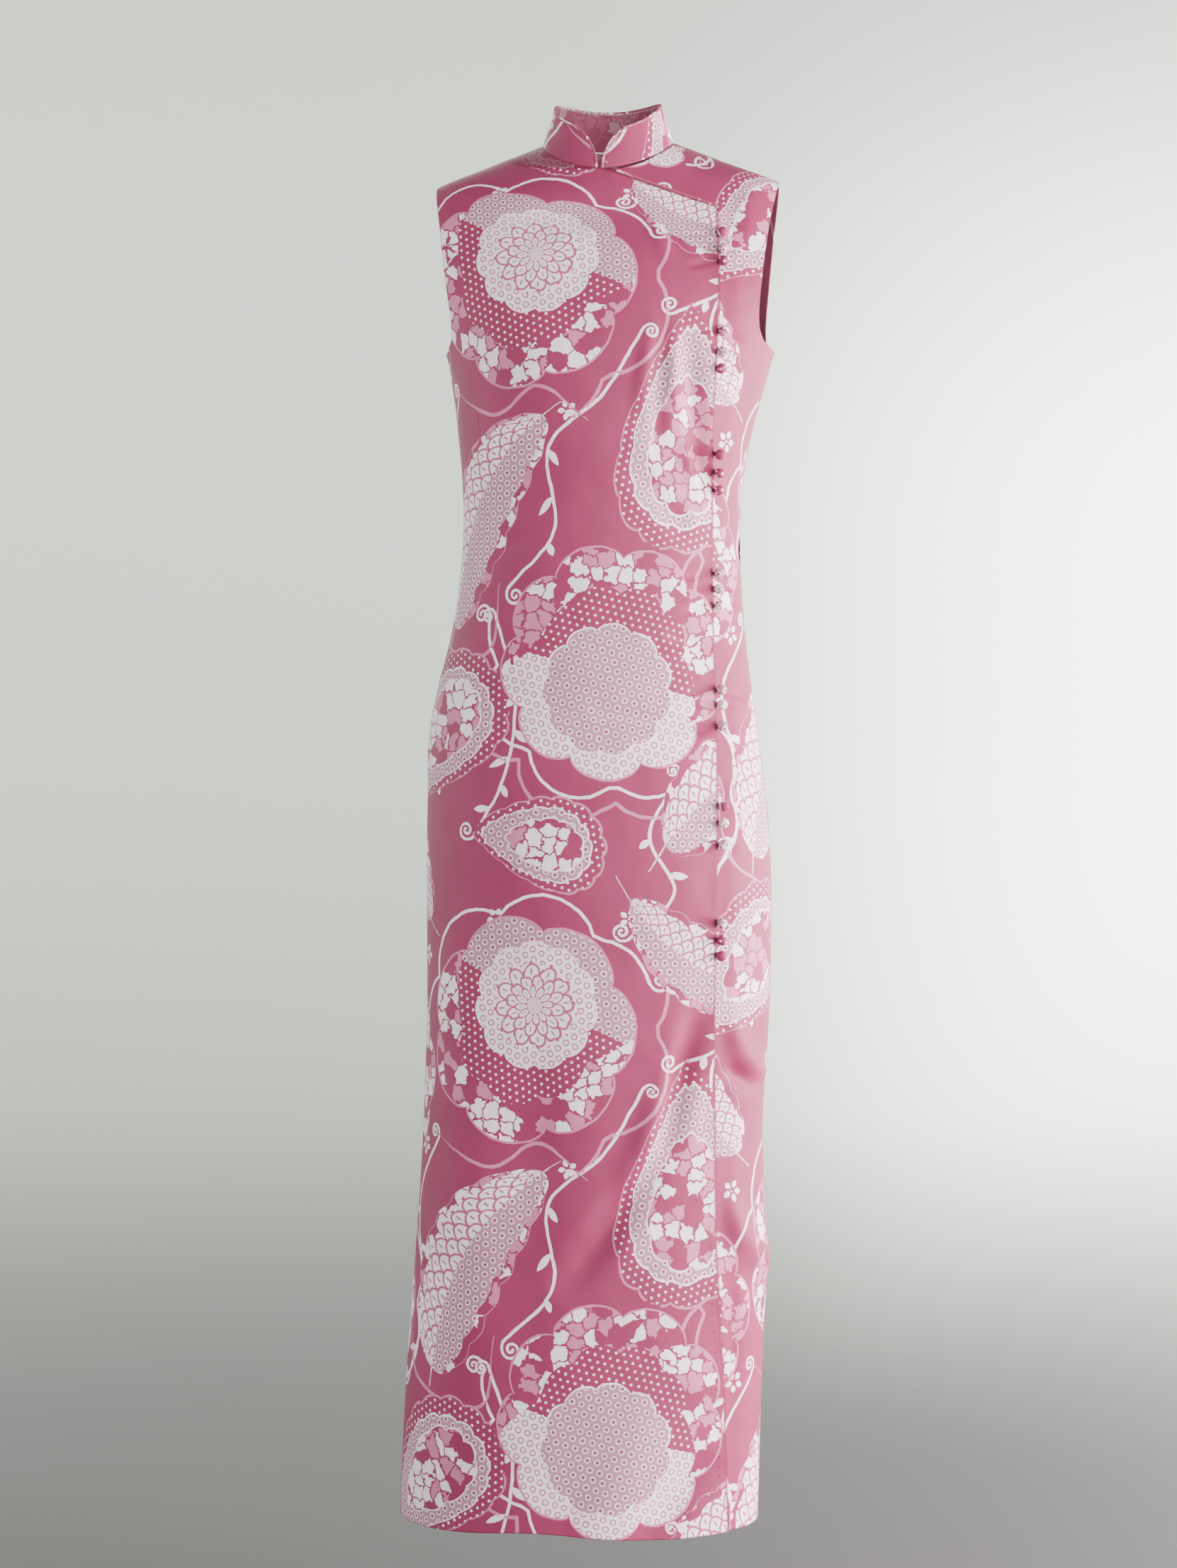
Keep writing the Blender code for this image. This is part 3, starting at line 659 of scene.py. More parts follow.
@dataclass
class Panel:
    """A cloth panel of the dress: its grid, its folds, its wall and its place on the cloth."""

    name: str
    facing: Facing
    folds: Folds
    seed: int
    print_shift: tuple[float, float]
    fine: Fineness = Fineness()
    hills: float = 0.00032
    hill_lengths: tuple[float, float] = (0.085, 0.034)
    hill_shares: tuple[float, float] = (0.6, 0.4)
    pucker: float = 0.00022
    pucker_length: float = 0.016
    pucker_reach: float = 0.006
    pucker_wander: float = 0.004
    wander_length: float = 0.05
    border_ease: float = 0.0008
    border_calm: float = 0.25
    calm_reach: float = 0.004
    grid: Array = field(init=False, default=None)
    cut: Array = field(init=False, default=None)
    outer: Array = field(init=False, default=None)

    def levels(self) -> Array:
        """The heights of the level rows, from the chest to the hem."""
        arm = np.linspace(FORM.chest, FORM.underarm, self.fine.armhole_rows + 1)
        fall = np.linspace(FORM.underarm, FORM.hem, self.fine.body_rows + 1)
        return np.concatenate([arm, fall[1:]])

    def side_line(self, hand: int) -> Array:
        """The shoulder seam and armhole edge from the neck to the chest."""
        z = np.linspace(0.0, FORM.chest, self.fine.top_rows + 1)
        return np.stack([hand * FORM.half_width(z, self.facing), z], axis=-1)

    def columns(self, z: Array) -> Array:
        """The places of the columns at some levels."""
        raise NotImplementedError

    def borders(self) -> tuple[Array, Array, Array]:
        """The top, left and right edge curves above the chest."""
        raise NotImplementedError

    def lay_out(self) -> Array:
        """The whole grid across and in height: a patch above the chest, then level rows."""
        levels = self.levels()
        x = self.columns(levels)
        lower = np.stack([x, np.broadcast_to(levels[:, None], x.shape)], axis=-1)
        top, left, right = self.borders()
        grid = np.concatenate([blended_patch(top, lower[0], left, right)[:-1], lower])
        x, z = grid[..., 0], grid[..., 1]
        share = smooth_step((z / FORM.hem - 1 + FORM.hem_stretch) / FORM.hem_stretch)
        grid[..., 1] = z + share * (FORM.hem_height(x, self.facing) - FORM.hem)
        return fine_border(grid, self.fine.border)

    def relief(self, x: Array, z: Array, border: Array) -> Array:
        """Small unevenness: soft hills all over and short puckers beside sewn edges."""
        wide, narrow = (
            share * soft_noise(x, z, length, self.seed + k)
            for k, (share, length) in enumerate(zip(self.hill_shares, self.hill_lengths))
        )
        run = x + z + self.pucker_wander * soft_noise(x, z, self.wander_length, self.seed + 2)
        waves = np.sin(2 * math.pi * run / self.pucker_length)
        return self.hills * (wide + narrow) + self.pucker * waves * np.exp(-border / self.pucker_reach)

    def shape(self) -> Piece:
        """Works out the wall of the panel.

        The outer face is the form moved out by the folds and the relief.

        Returns:
            The wall as a piece.
        """
        self.grid = self.lay_out()
        x, z = self.grid[..., 0], self.grid[..., 1]
        points, normal = FORM.surface(x, z, self.facing)
        points[..., 1] += self.facing.value * FORM.cloth.seam_gap / 2
        border = border_distance(self.grid)
        fade = smooth_step(FORM.fullness(x, z) / FORM.fold_fade)
        calm = self.border_calm + (1 - self.border_calm) * smooth_step(border / self.calm_reach)
        lift = self.lift(x, z, fade) + self.relief(x, z, border) * fade * calm
        middle = points + normal * (lift - FORM.cloth.wall / 2)[..., None]
        self.cut = Unrolled(self.facing).at(x, z)
        self.outer, piece = rounded_wall(middle, normal, border, self.cut + np.array(self.print_shift))
        seam = self.seam_gap(x, z, border)
        piece.seam = np.concatenate([seam.ravel(), np.ones(seam.size)])
        return piece

    def seam_gap(self, x: Array, z: Array, border: Array) -> Array:
        """How far each point lies from a seam: from the panel's own border, less a hair."""
        return border + self.border_ease

    def lift(self, x: Array, z: Array, fade: Array) -> Array:
        """The folds, faded out towards the side and shoulder seams."""
        return self.folds.height(x, z) * fade

    def cut_size(self) -> tuple[float, float, float]:
        """The flat width, length and area of the panel's cut, from its outer face."""
        across = self.outer[:-1, 1:] - self.outer[:-1, :-1]
        down = self.outer[1:, :-1] - self.outer[:-1, :-1]
        area = float(np.linalg.norm(np.cross(across, down), axis=-1).sum())
        width, length = np.ptp(self.cut[..., 0]), np.ptp(self.cut[..., 1])
        return float(width), float(length), area


@dataclass
class FrontPanel(Panel):
    """The overlapping front, from the plain side seam to the slant and the long edge."""

    roll_height: float = 0.0007
    roll_width: float = 0.0045
    dart: tuple[float, float, float] = (-0.1233, -0.277, -0.302)

    def lift(self, x: Array, z: Array, fade: Array) -> Array:
        """The folds, and a soft roll where the cloth is turned in along the overlap's edge."""
        inward = -FORM.beyond_overlap(x, z)
        roll = self.roll_height * np.exp(-((inward / self.roll_width) ** 2))
        return super().lift(x, z, fade) + roll

    def seam_gap(self, x: Array, z: Array, border: Array) -> Array:
        """The distance from the lapped edge or the small bust dart, whichever is nearer."""
        lapped = -FORM.beyond_overlap(x, z)
        across, top, foot = self.dart
        past = np.maximum(np.maximum(z - top, foot - z), 0)
        dart = np.hypot(x - across, past) + self.border_ease
        return np.minimum(np.minimum(lapped, dart), border + self.border_ease)

    def columns(self, z: Array) -> Array:
        """Even in angle from the side seam to the lap, then even across the lap."""
        half, centre = FORM.half_width(z, self.facing), FORM.body.at("centre", z)
        lap = FORM.edge.at("across", z) - FORM.lap_width
        last = np.arcsin((lap - centre) / half)
        count = self.fine.neck_columns + self.fine.slant_columns
        angle = -math.pi / 2 + np.linspace(0, 1, count + 1) * (last + math.pi / 2)[:, None]
        wide = centre[:, None] + half[:, None] * np.sin(angle)
        share = np.linspace(0, 1, self.fine.lap_columns + 1)[1:]
        return np.concatenate([wide, lap[:, None] + FORM.lap_width * share], axis=1)

    def borders(self) -> tuple[Array, Array, Array]:
        """The neck and slant on top, the shoulder and armhole, and the long edge."""
        notch = math.asin(FORM.notch / FORM.neck_half)
        neck = FORM.neck_points(np.linspace(-math.pi / 2, notch, self.fine.neck_columns + 1))
        count = self.fine.slant_columns + self.fine.lap_columns
        x = np.linspace(FORM.notch, FORM.corner[0], count + 1)[1:]
        slant = np.stack([x, FORM.slant_height(x)], axis=-1)
        z = np.linspace(FORM.corner[1], FORM.chest, self.fine.top_rows + 1)
        edge = np.stack([FORM.edge.at("across", z), z], axis=-1)
        return np.concatenate([neck, slant]), self.side_line(-1), edge


@dataclass
class SidePanel(Panel):
    """The button side's front, which passes under the overlap."""

    over: Folds | None = None
    calm_lap: tuple[float, float] = (0.01, 0.2)

    def columns(self, z: Array) -> Array:
        """Even across the lap, then even in angle from the edge to the side seam."""
        half, centre = FORM.half_width(z, self.facing), FORM.body.at("centre", z)
        edge = FORM.edge.at("across", z)
        share = np.linspace(0, 1, self.fine.lap_columns + 1)
        lapped = (edge - FORM.lap_width)[:, None] + FORM.lap_width * share
        first = np.arcsin((edge - centre) / half)
        turn = np.linspace(0, 1, self.fine.side_columns + 1)[1:] * (math.pi / 2 - first)[:, None]
        wide = centre[:, None] + half[:, None] * np.sin(first[:, None] + turn)
        return np.concatenate([lapped, wide], axis=1)

    def borders(self) -> tuple[Array, Array, Array]:
        """The neck on top, the hidden edge under the overlap, and the shoulder and armhole."""
        start = math.asin(FORM.underlap.rows[0][1] / FORM.neck_half)
        count = self.fine.lap_columns + self.fine.side_columns
        neck = FORM.neck_points(np.linspace(start, math.pi / 2, count + 1))
        share = np.linspace(0, 1, self.fine.top_rows + 1)
        hidden = np.stack([FORM.underlap.at(name, share) for name in ("across", "height")], axis=-1)
        hidden[0] = neck[0]
        hidden[-1] = (FORM.edge.at("across", FORM.chest) - FORM.lap_width, FORM.chest)
        return neck, hidden, self.side_line(1)

    def lift(self, x: Array, z: Array, fade: Array) -> Array:
        """Beside the overlap its own folds, under it a step down that follows only the troughs.

        The two are blended by how far a point lies past the overlap's edge.
        """
        chest = smooth_step((z - FORM.chest) / FORM.lap_chest_rise)
        start = FORM.lap_ease_start + FORM.lap_ease_start_chest * chest
        ease = smooth_step((FORM.beyond_overlap(x, z) - start) / FORM.lap_ease)
        depth = FORM.cloth.wall + FORM.lap_gap + FORM.lap_gap_chest * chest
        over = self.over.height(x, z)
        shift = self.folds.height(x, z) * ease - (np.maximum(over, 0) + depth) * (1 - ease)
        return over * fade + shift

    def seam_gap(self, x: Array, z: Array, border: Array) -> Array:
        """The distance from the overlap's edge, on both its sides, or from the border."""
        lapped = np.maximum(FORM.beyond_overlap(x, z) - self.border_ease, 0)
        return np.minimum(lapped, border + self.border_ease)

    def relief(self, x: Array, z: Array, border: Array) -> Array:
        """The same small unevenness, calm under the overlap."""
        reach, start = self.calm_lap
        free = smooth_step(FORM.beyond_overlap(x, z) / reach - start)
        return super().relief(x, z, border) * free


class BackPanel(Panel):
    """The back in one piece."""

    def columns(self, z: Array) -> Array:
        """Even in angle from one side seam to the other."""
        angle = np.linspace(-math.pi / 2, math.pi / 2, self.fine.back_columns + 1)
        half = FORM.half_width(z, self.facing)[:, None]
        return FORM.body.at("centre", z)[:, None] + half * np.sin(angle)

    def borders(self) -> tuple[Array, Array, Array]:
        """The neck on top, and the shoulder and armhole on both sides."""
        turn = np.linspace(-math.pi / 2, -3 * math.pi / 2, self.fine.back_columns + 1)
        return FORM.neck_points(turn), self.side_line(-1), self.side_line(1)


@dataclass
class Collar:
    """The stand collar with rounded ends at the notch, and the piping round its edge."""

    height: float = 0.038
    gap: float = 0.0004
    lean_side: float = math.radians(17.0)
    lean_front: float = math.radians(10.0)
    corner: float = 0.031
    end: float = 0.0047
    columns: int = 190
    rows: int = 26
    piping_radius: float = 0.0013
    piping_step: float = 0.0012
    piping_sides: int = 10
    piping_print: tuple[float, float] = (0.05, -0.3)
    cut: tuple[float, float] = (0.385, 0.038)
    cut_area: float = 0.0125
    print_shift: tuple[float, float] = (-0.015, -0.300)
    border: tuple[float, ...] = (0.0003, 0.0007)
    inside: int = 3
    waves: float = 0.0002
    wave_length: float = 0.03
    wave_fade: float = 0.006
    seed: int = 31
    middle: Array = field(init=False, default=None)
    normal: Array = field(init=False, default=None)

    def frame_at(self, angle: Array) -> tuple[Array, Array, Array]:
        """The base points on the neck seam, the way the collar rises, and its outward normal.

        The collar leans inwards by an angle that grows from the front to the sides.
        """
        x, z = np.moveaxis(FORM.neck_points(angle), -1, 0)
        in_front = (np.cos(angle) >= 0)[..., None]
        front = FORM.surface(x, z, Facing.FRONT)[0]
        base = np.where(in_front, front, FORM.surface(x, z, Facing.BACK)[0])
        away = [np.sin(angle) / FORM.neck_half, -np.cos(angle) / FORM.neck_depth, 0 * angle]
        out = units(np.stack(away, axis=-1))
        lean = self.lean_front + (self.lean_side - self.lean_front) * np.sin(angle) ** 2
        up = np.array([0.0, 0.0, 1.0])
        rise = up * np.cos(lean)[..., None] - out * np.sin(lean)[..., None]
        return base, rise, out * np.cos(lean)[..., None] + up * np.sin(lean)[..., None]

    def shape(self) -> Piece:
        """The collar's wall.

        Rows follow a quarter turn t: their height is sin t of the collar's height, and their ends
        draw back from the notch by the corner times (1 - cos t), which rounds both front corners.

        Returns:
            The wall as a piece.
        """
        turn = np.linspace(0, math.pi / 2, self.rows + 1)
        back = (self.end + self.corner * (1 - np.cos(turn))) / FORM.neck_half
        notch = math.asin(FORM.notch / FORM.neck_half)
        start, end = notch + back, notch + 2 * math.pi - back
        share = np.linspace(0, 1, self.columns + 1)
        angle = start[:, None] + share * (end - start)[:, None]
        rise_by = self.gap + self.height * np.sin(turn)[:, None] * np.ones_like(angle)
        flat = np.stack([angle * FORM.neck_half, rise_by], axis=-1)
        flat = fine_border(flat, self.border)
        angle, rise_by = flat[..., 0] / FORM.neck_half, flat[..., 1]
        base, rise, self.normal = self.frame_at(angle)
        border = border_distance(flat)
        bumps = self.waves * soft_noise(flat[..., 0], rise_by, self.wave_length, self.seed)
        out_by = bumps * smooth_step(border / self.wave_fade) - FORM.cloth.wall / 2
        self.middle = base + rise * rise_by[..., None] + self.normal * out_by[..., None]
        places = flat + np.array(self.print_shift)
        return rounded_wall(self.middle, self.normal, border, places)[1]

    def piping(self) -> Piece:
        """The piping, a tube just outside the collar's front and top edges."""
        edge, facing = (
            np.concatenate([rows[:, 0], rows[-1, 1:-1], rows[::-1, -1]])
            for rows in (self.middle, self.normal)
        )
        k, rows = self.inside, self.middle
        inward = np.concatenate([rows[:, k], rows[-1 - k, 1:-1], rows[::-1, -1 - k]])
        along = units(np.gradient(edge, axis=0))
        away = np.cross(along, facing)
        away = units(away * np.sign(np.sum(away * (edge - inward), axis=1, keepdims=True)))
        path = edge + away * (self.piping_radius + FORM.cloth.seam_gap * 0.5)
        path, up = evenly(path, self.piping_step), (0.0, 0.02, 1.0)
        return tube_piece(path, self.piping_radius, self.piping_sides, self.piping_print, up)


def evenly(points: Array, step: float) -> Array:
    """Points an even step apart along a line, ends kept."""
    run = np.concatenate([[0], np.cumsum(np.linalg.norm(np.diff(points, axis=0), axis=1))])
    count = max(int(round(run[-1] / step)), 2)
    at = np.linspace(0, run[-1], count + 1)
    return np.stack([np.interp(at, run, points[:, k]) for k in range(points.shape[1])], axis=1)


def tube_piece(path: Array, radius: Array | float, sides: int, flat_start: Row, up: Row) -> Piece:
    """A round tube along a path, with its ends drawn in to a point and closed.

    Each ring is the path's point plus radius (cos t side + sin t rise), where side and rise are
    the directions square to the path and to the given up direction.

    Args:
        path: The points of the middle line.
        radius: The tube's radius, one or for each point.
        sides: How many faces go round it.
        flat_start: Where its cloth lies on the flat print.
        up: A direction that the path never runs along.

    Returns:
        The tube as a piece.
    """
    along = units(np.gradient(path, axis=0))
    side = units(np.cross(along, np.array(up)))
    rise = np.cross(side, along)
    reach = np.broadcast_to(np.asarray(radius, float), (len(path),)).copy()
    path = np.concatenate([path[:1], path, path[-1:]])
    side, rise = (np.concatenate([v[:1], v, v[-1:]]) for v in (side, rise))
    reach = np.concatenate([[1e-5], reach, [1e-5]])
    turn = np.linspace(0, 2 * math.pi, sides, endpoint=False)
    ring = side[:, None] * np.cos(turn)[:, None] + rise[:, None] * np.sin(turn)[:, None]
    points = (path[:, None] + ring * reach[:, None, None]).reshape(-1, 3)
    faces = outward(points, ring_faces(len(path), sides))
    run = np.concatenate([[0], np.cumsum(np.linalg.norm(np.diff(path, axis=0), axis=1))])
    v, u = np.broadcast_arrays(run[:, None], turn[None] * reach.max())
    flat = np.stack([u, v], axis=-1).reshape(-1, 2) + np.array(flat_start)
    return Piece(points, faces, flat, np.zeros(len(faces), bool))


class SolidSeat:
    """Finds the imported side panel's surface, so that what lies on it sits on its real faces."""

    start: float = 0.02
    reach: float = 0.05

    def __init__(self, node: str) -> None:
        """Reads the node's triangles into a search tree."""
        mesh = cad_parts[node].data
        mesh.calc_loop_triangles()
        corners = np.empty(len(mesh.vertices) * 3, np.float32)
        mesh.vertices.foreach_get("co", corners)
        triangles = np.empty(len(mesh.loop_triangles) * 3, np.int32)
        mesh.loop_triangles.foreach_get("vertices", triangles)
        corners, triangles = corners.reshape(-1, 3), triangles.reshape(-1, 3)
        self.tree = BVHTree.FromPolygons(corners.tolist(), triangles.tolist())

    def lift(self, point: Vector, normal: Vector, height: float) -> Vector:
        """The point's foot on the faces, lifted by a height along the normal."""
        foot = self.tree.ray_cast(point + normal * self.start, -normal, self.reach)[0]
        return foot + normal * height

    def at(self, x: float, z: float, height: float) -> tuple[Vector, Vector]:
        """A point above the faces at a place of the form, and the form's normal there."""
        points, normals = FORM.surface(np.array([x]), np.array([z]), Facing.FRONT)
        normal = Vector(normals[0])
        return self.lift(Vector(points[0]), normal, height), normal


@dataclass
class Fastenings:
    """The covered ball buttons in groups of three, and the loop round the foot of each."""

    groups: tuple[Row, ...] = (
        (-0.1070, -0.1245, -0.1372),
        (-0.2060, -0.2257, -0.2418),
        (-0.3233, -0.3415, -0.3584),
        (-0.4405, -0.4560, -0.4728),
        (-0.5563, -0.5711, -0.5928),
        (-0.6708, -0.6876, -0.7094),
        (-0.7852, -0.8020, -0.8175),
    )
    ball_radius: float = 0.0052
    ball_height: float = 0.0070
    shank_radius: float = 0.0013
    from_edge: float = 0.0038
    seat_height: float = 0.0006
    loop_wire: float = 0.0008
    loop_radius: float = 0.0026
    loop_step: float = 0.0006
    loop_sides: int = 10
    rings: int = 20
    sides: int = 28
    gathers: int = 9
    gather_depth: float = 0.05
    gather_level: tuple[float, float] = (0.2, 1.1)
    tilt: float = 0.10
    lean: float = 0.003
    cut_reach: float = 0.7
    bend_points: int = 14
    seed: int = 5

    def ball(self, foot: Vector, normal: Vector, rng: np.random.Generator) -> Piece:
        """One covered ball on its shank.

        The outline follows a circle from the top to where it meets the shank, then down the
        shank. The cover is gathered underneath: there the radius swells and sinks by a few
        hundredths, as a cosine round the ball that grows towards the foot.

        Args:
            foot: Where the shank stands.
            normal: The way that the shank rises.
            rng: Picks a tilt and the part of the print that covers the ball.

        Returns:
            The ball and its shank.
        """
        low = -math.acos(self.shank_radius / self.ball_radius)
        lift = np.linspace(math.pi / 2, low, self.rings)
        radius = np.append(self.ball_radius * np.cos(lift), [self.shank_radius] * 2)
        height = self.ball_height + self.ball_radius * np.sin(lift)
        height = np.append(height, [self.seat_height * 2, 0.0])
        radius[0] = 1e-5
        turn = np.linspace(0, 2 * math.pi, self.sides, endpoint=False)
        level, span = self.gather_level
        under = smooth_step((level - np.append(np.sin(lift), [-1, -1])) / span)[:, None]
        gather = 1 + self.gather_depth * under * np.cos(self.gathers * turn + rng.uniform(0, 6))[None]
        rise = np.array(normal)
        side = units(np.cross(rise, (0.0, 0.0, 1.0)))
        over = np.cross(rise, side)
        tilt = rng.uniform(-self.tilt, self.tilt, 2)
        lean = (height / self.ball_height * self.lean)[:, None]
        middle = np.array(foot) + rise * height[:, None] + lean * (side * tilt[0] + over * tilt[1])
        ring = side * np.cos(turn)[:, None] + over * np.sin(turn)[:, None]
        points = (middle[:, None] + ring[None] * (radius[:, None] * gather)[..., None]).reshape(-1, 3)
        faces = outward(points, ring_faces(len(radius), self.sides))
        arc = np.append(math.pi / 2 - lift, [math.pi, math.pi]) * self.ball_radius
        flat = np.stack([arc[:, None] * np.cos(turn), arc[:, None] * np.sin(turn)], axis=-1)
        motif = Print.motifs[int(rng.integers(len(Print.motifs)))]
        place = np.array([motif.u, motif.v]) + rng.uniform(-1, 1, 2) * motif.radius * self.cut_reach
        return Piece(points, faces, flat.reshape(-1, 2) + place, np.zeros(len(faces), bool))

    def loop(
        self, foot: Vector, normal: Vector, over: Vector, seat: SolidSeat, rng: np.random.Generator
    ) -> Piece:
        """The loop from under the overlap's edge round the foot of the ball and back.

        Args:
            foot: Where the button's shank stands.
            normal: The way that it rises.
            over: The direction across, away from the edge.
            seat: The side panel's surface.
            rng: Picks the loop's part of the print.

        Returns:
            The loop as a tube.
        """
        rise = normal.cross(over)
        bend = np.linspace(math.pi / 2, -math.pi / 2, self.bend_points)
        bend = np.concatenate([bend[:1], bend, bend[-1:]])
        across, along = self.loop_radius * np.cos(bend), self.loop_radius * np.sin(bend)
        across[[0, -1]] = FORM.cloth.seam_gap + self.loop_wire / 2 - self.from_edge
        height = FORM.cloth.seam_gap + self.loop_wire
        path = [
            seat.lift(foot + over * a + rise * h, normal, height)
            for a, h in zip(across.tolist(), along.tolist())
        ]
        start = rng.uniform((-0.2, -1.2), (0.2, -0.2))
        path = evenly(np.array(path), self.loop_step)
        return tube_piece(path, self.loop_wire, self.loop_sides, tuple(start), tuple(normal))

    def shape(self, seat: SolidSeat) -> tuple[Piece, Piece]:
        """All the balls as one piece and all the loops as another.

        Args:
            seat: The side panel's surface.

        Returns:
            The balls and the loops.
        """
        rng = np.random.default_rng(self.seed)
        balls, loops = [], []
        for z in (height for group in self.groups for height in group):
            edge = float(FORM.edge.at("across", z))
            normal = FORM.surface(np.array([edge]), np.array([z]), Facing.FRONT)[1][0]
            over = np.array([-normal[1], normal[0]]) / np.hypot(normal[0], normal[1])
            foot, rise = seat.at(edge + over[0] * self.from_edge, z, self.seat_height)
            balls.append(self.ball(foot, rise, rng))
            loops.append(self.loop(foot, rise, Vector((*over, 0)).normalized(), seat, rng))
        return joined(balls), joined(loops)


@dataclass
class SlantPiping:
    """The piping on the slant, beside the front panel's edge and just above the side panel."""

    radius: float = 0.0015
    start: float = 0.0135
    end: float = 0.001
    gap: float = 0.0006
    lift: float = 0.0009
    points: int = 60
    step: float = 0.0011
    sides: int = 12
    swell: tuple[float, float] = (0.05, 0.9)
    print_at: tuple[float, float] = (0.12, -0.5)

    def shape(self, seat: SolidSeat) -> Piece:
        """A tube whose middle line lies square to the slant by the radius and a gap.

        Args:
            seat: The side panel's surface.

        Returns:
            The tube.
        """
        x = np.linspace(self.start, FORM.corner[0] - self.end, self.points)
        z = FORM.slant_height(x)
        slope = np.gradient(z, x)
        away = self.radius + self.gap
        x_out = x - away * slope / np.hypot(1, slope)
        z_out = z + away / np.hypot(1, slope)
        height = self.radius + self.lift
        path = [seat.at(a, b, height)[0] for a, b in zip(x_out.tolist(), z_out.tolist())]
        path = evenly(np.array(path), self.step)
        depth, turn = self.swell
        width = self.radius * (1 + depth * np.sin(np.arange(len(path)) * turn))
        return tube_piece(path, width, self.sides, self.print_at, (0.0, -1.0, 0.0))


def adds_node(operation: str, swapped: bool = False) -> Callable[..., "Value"]:
    """A method for Value that adds the node of a sum, with its sides swapped if asked."""

    def method(self: "Value", *others: object) -> "Value":
        """Adds the node and returns its output."""
        sides = (self, *others)
        return self.graph.sum(operation, *(sides[::-1] if swapped else sides))

    return method


class Value:
    """A number, vector or colour of a shader, whose sums are written as plain arithmetic.

    Each sum adds a node to the value's graph and gives a new value. A comparison gives a mask.
    """

    __add__ = __radd__ = adds_node("ADD")
    __sub__, __rsub__ = adds_node("SUBTRACT"), adds_node("SUBTRACT", swapped=True)
    __mul__ = __rmul__ = adds_node("MULTIPLY")
    __truediv__, __rtruediv__ = adds_node("DIVIDE"), adds_node("DIVIDE", swapped=True)
    __pow__, __mod__, __abs__ = adds_node("POWER"), adds_node("MODULO"), adds_node("ABSOLUTE")
    __gt__, __lt__, matches = adds_node("GREATER_THAN"), adds_node("LESS_THAN"), adds_node("COMPARE")
    least, most, root = adds_node("MINIMUM"), adds_node("MAXIMUM"), adds_node("SQRT")
    sine, floor, fraction = adds_node("SINE"), adds_node("FLOOR"), adds_node("FRACT")
    length, dot, fractions = adds_node("LENGTH"), adds_node("DOT_PRODUCT"), adds_node("FRACTION")

    def __init__(self, graph: "Graph", socket: bpy.types.NodeSocket) -> None:
        """Keeps the graph and the node's output."""
        self.graph, self.socket = graph, socket


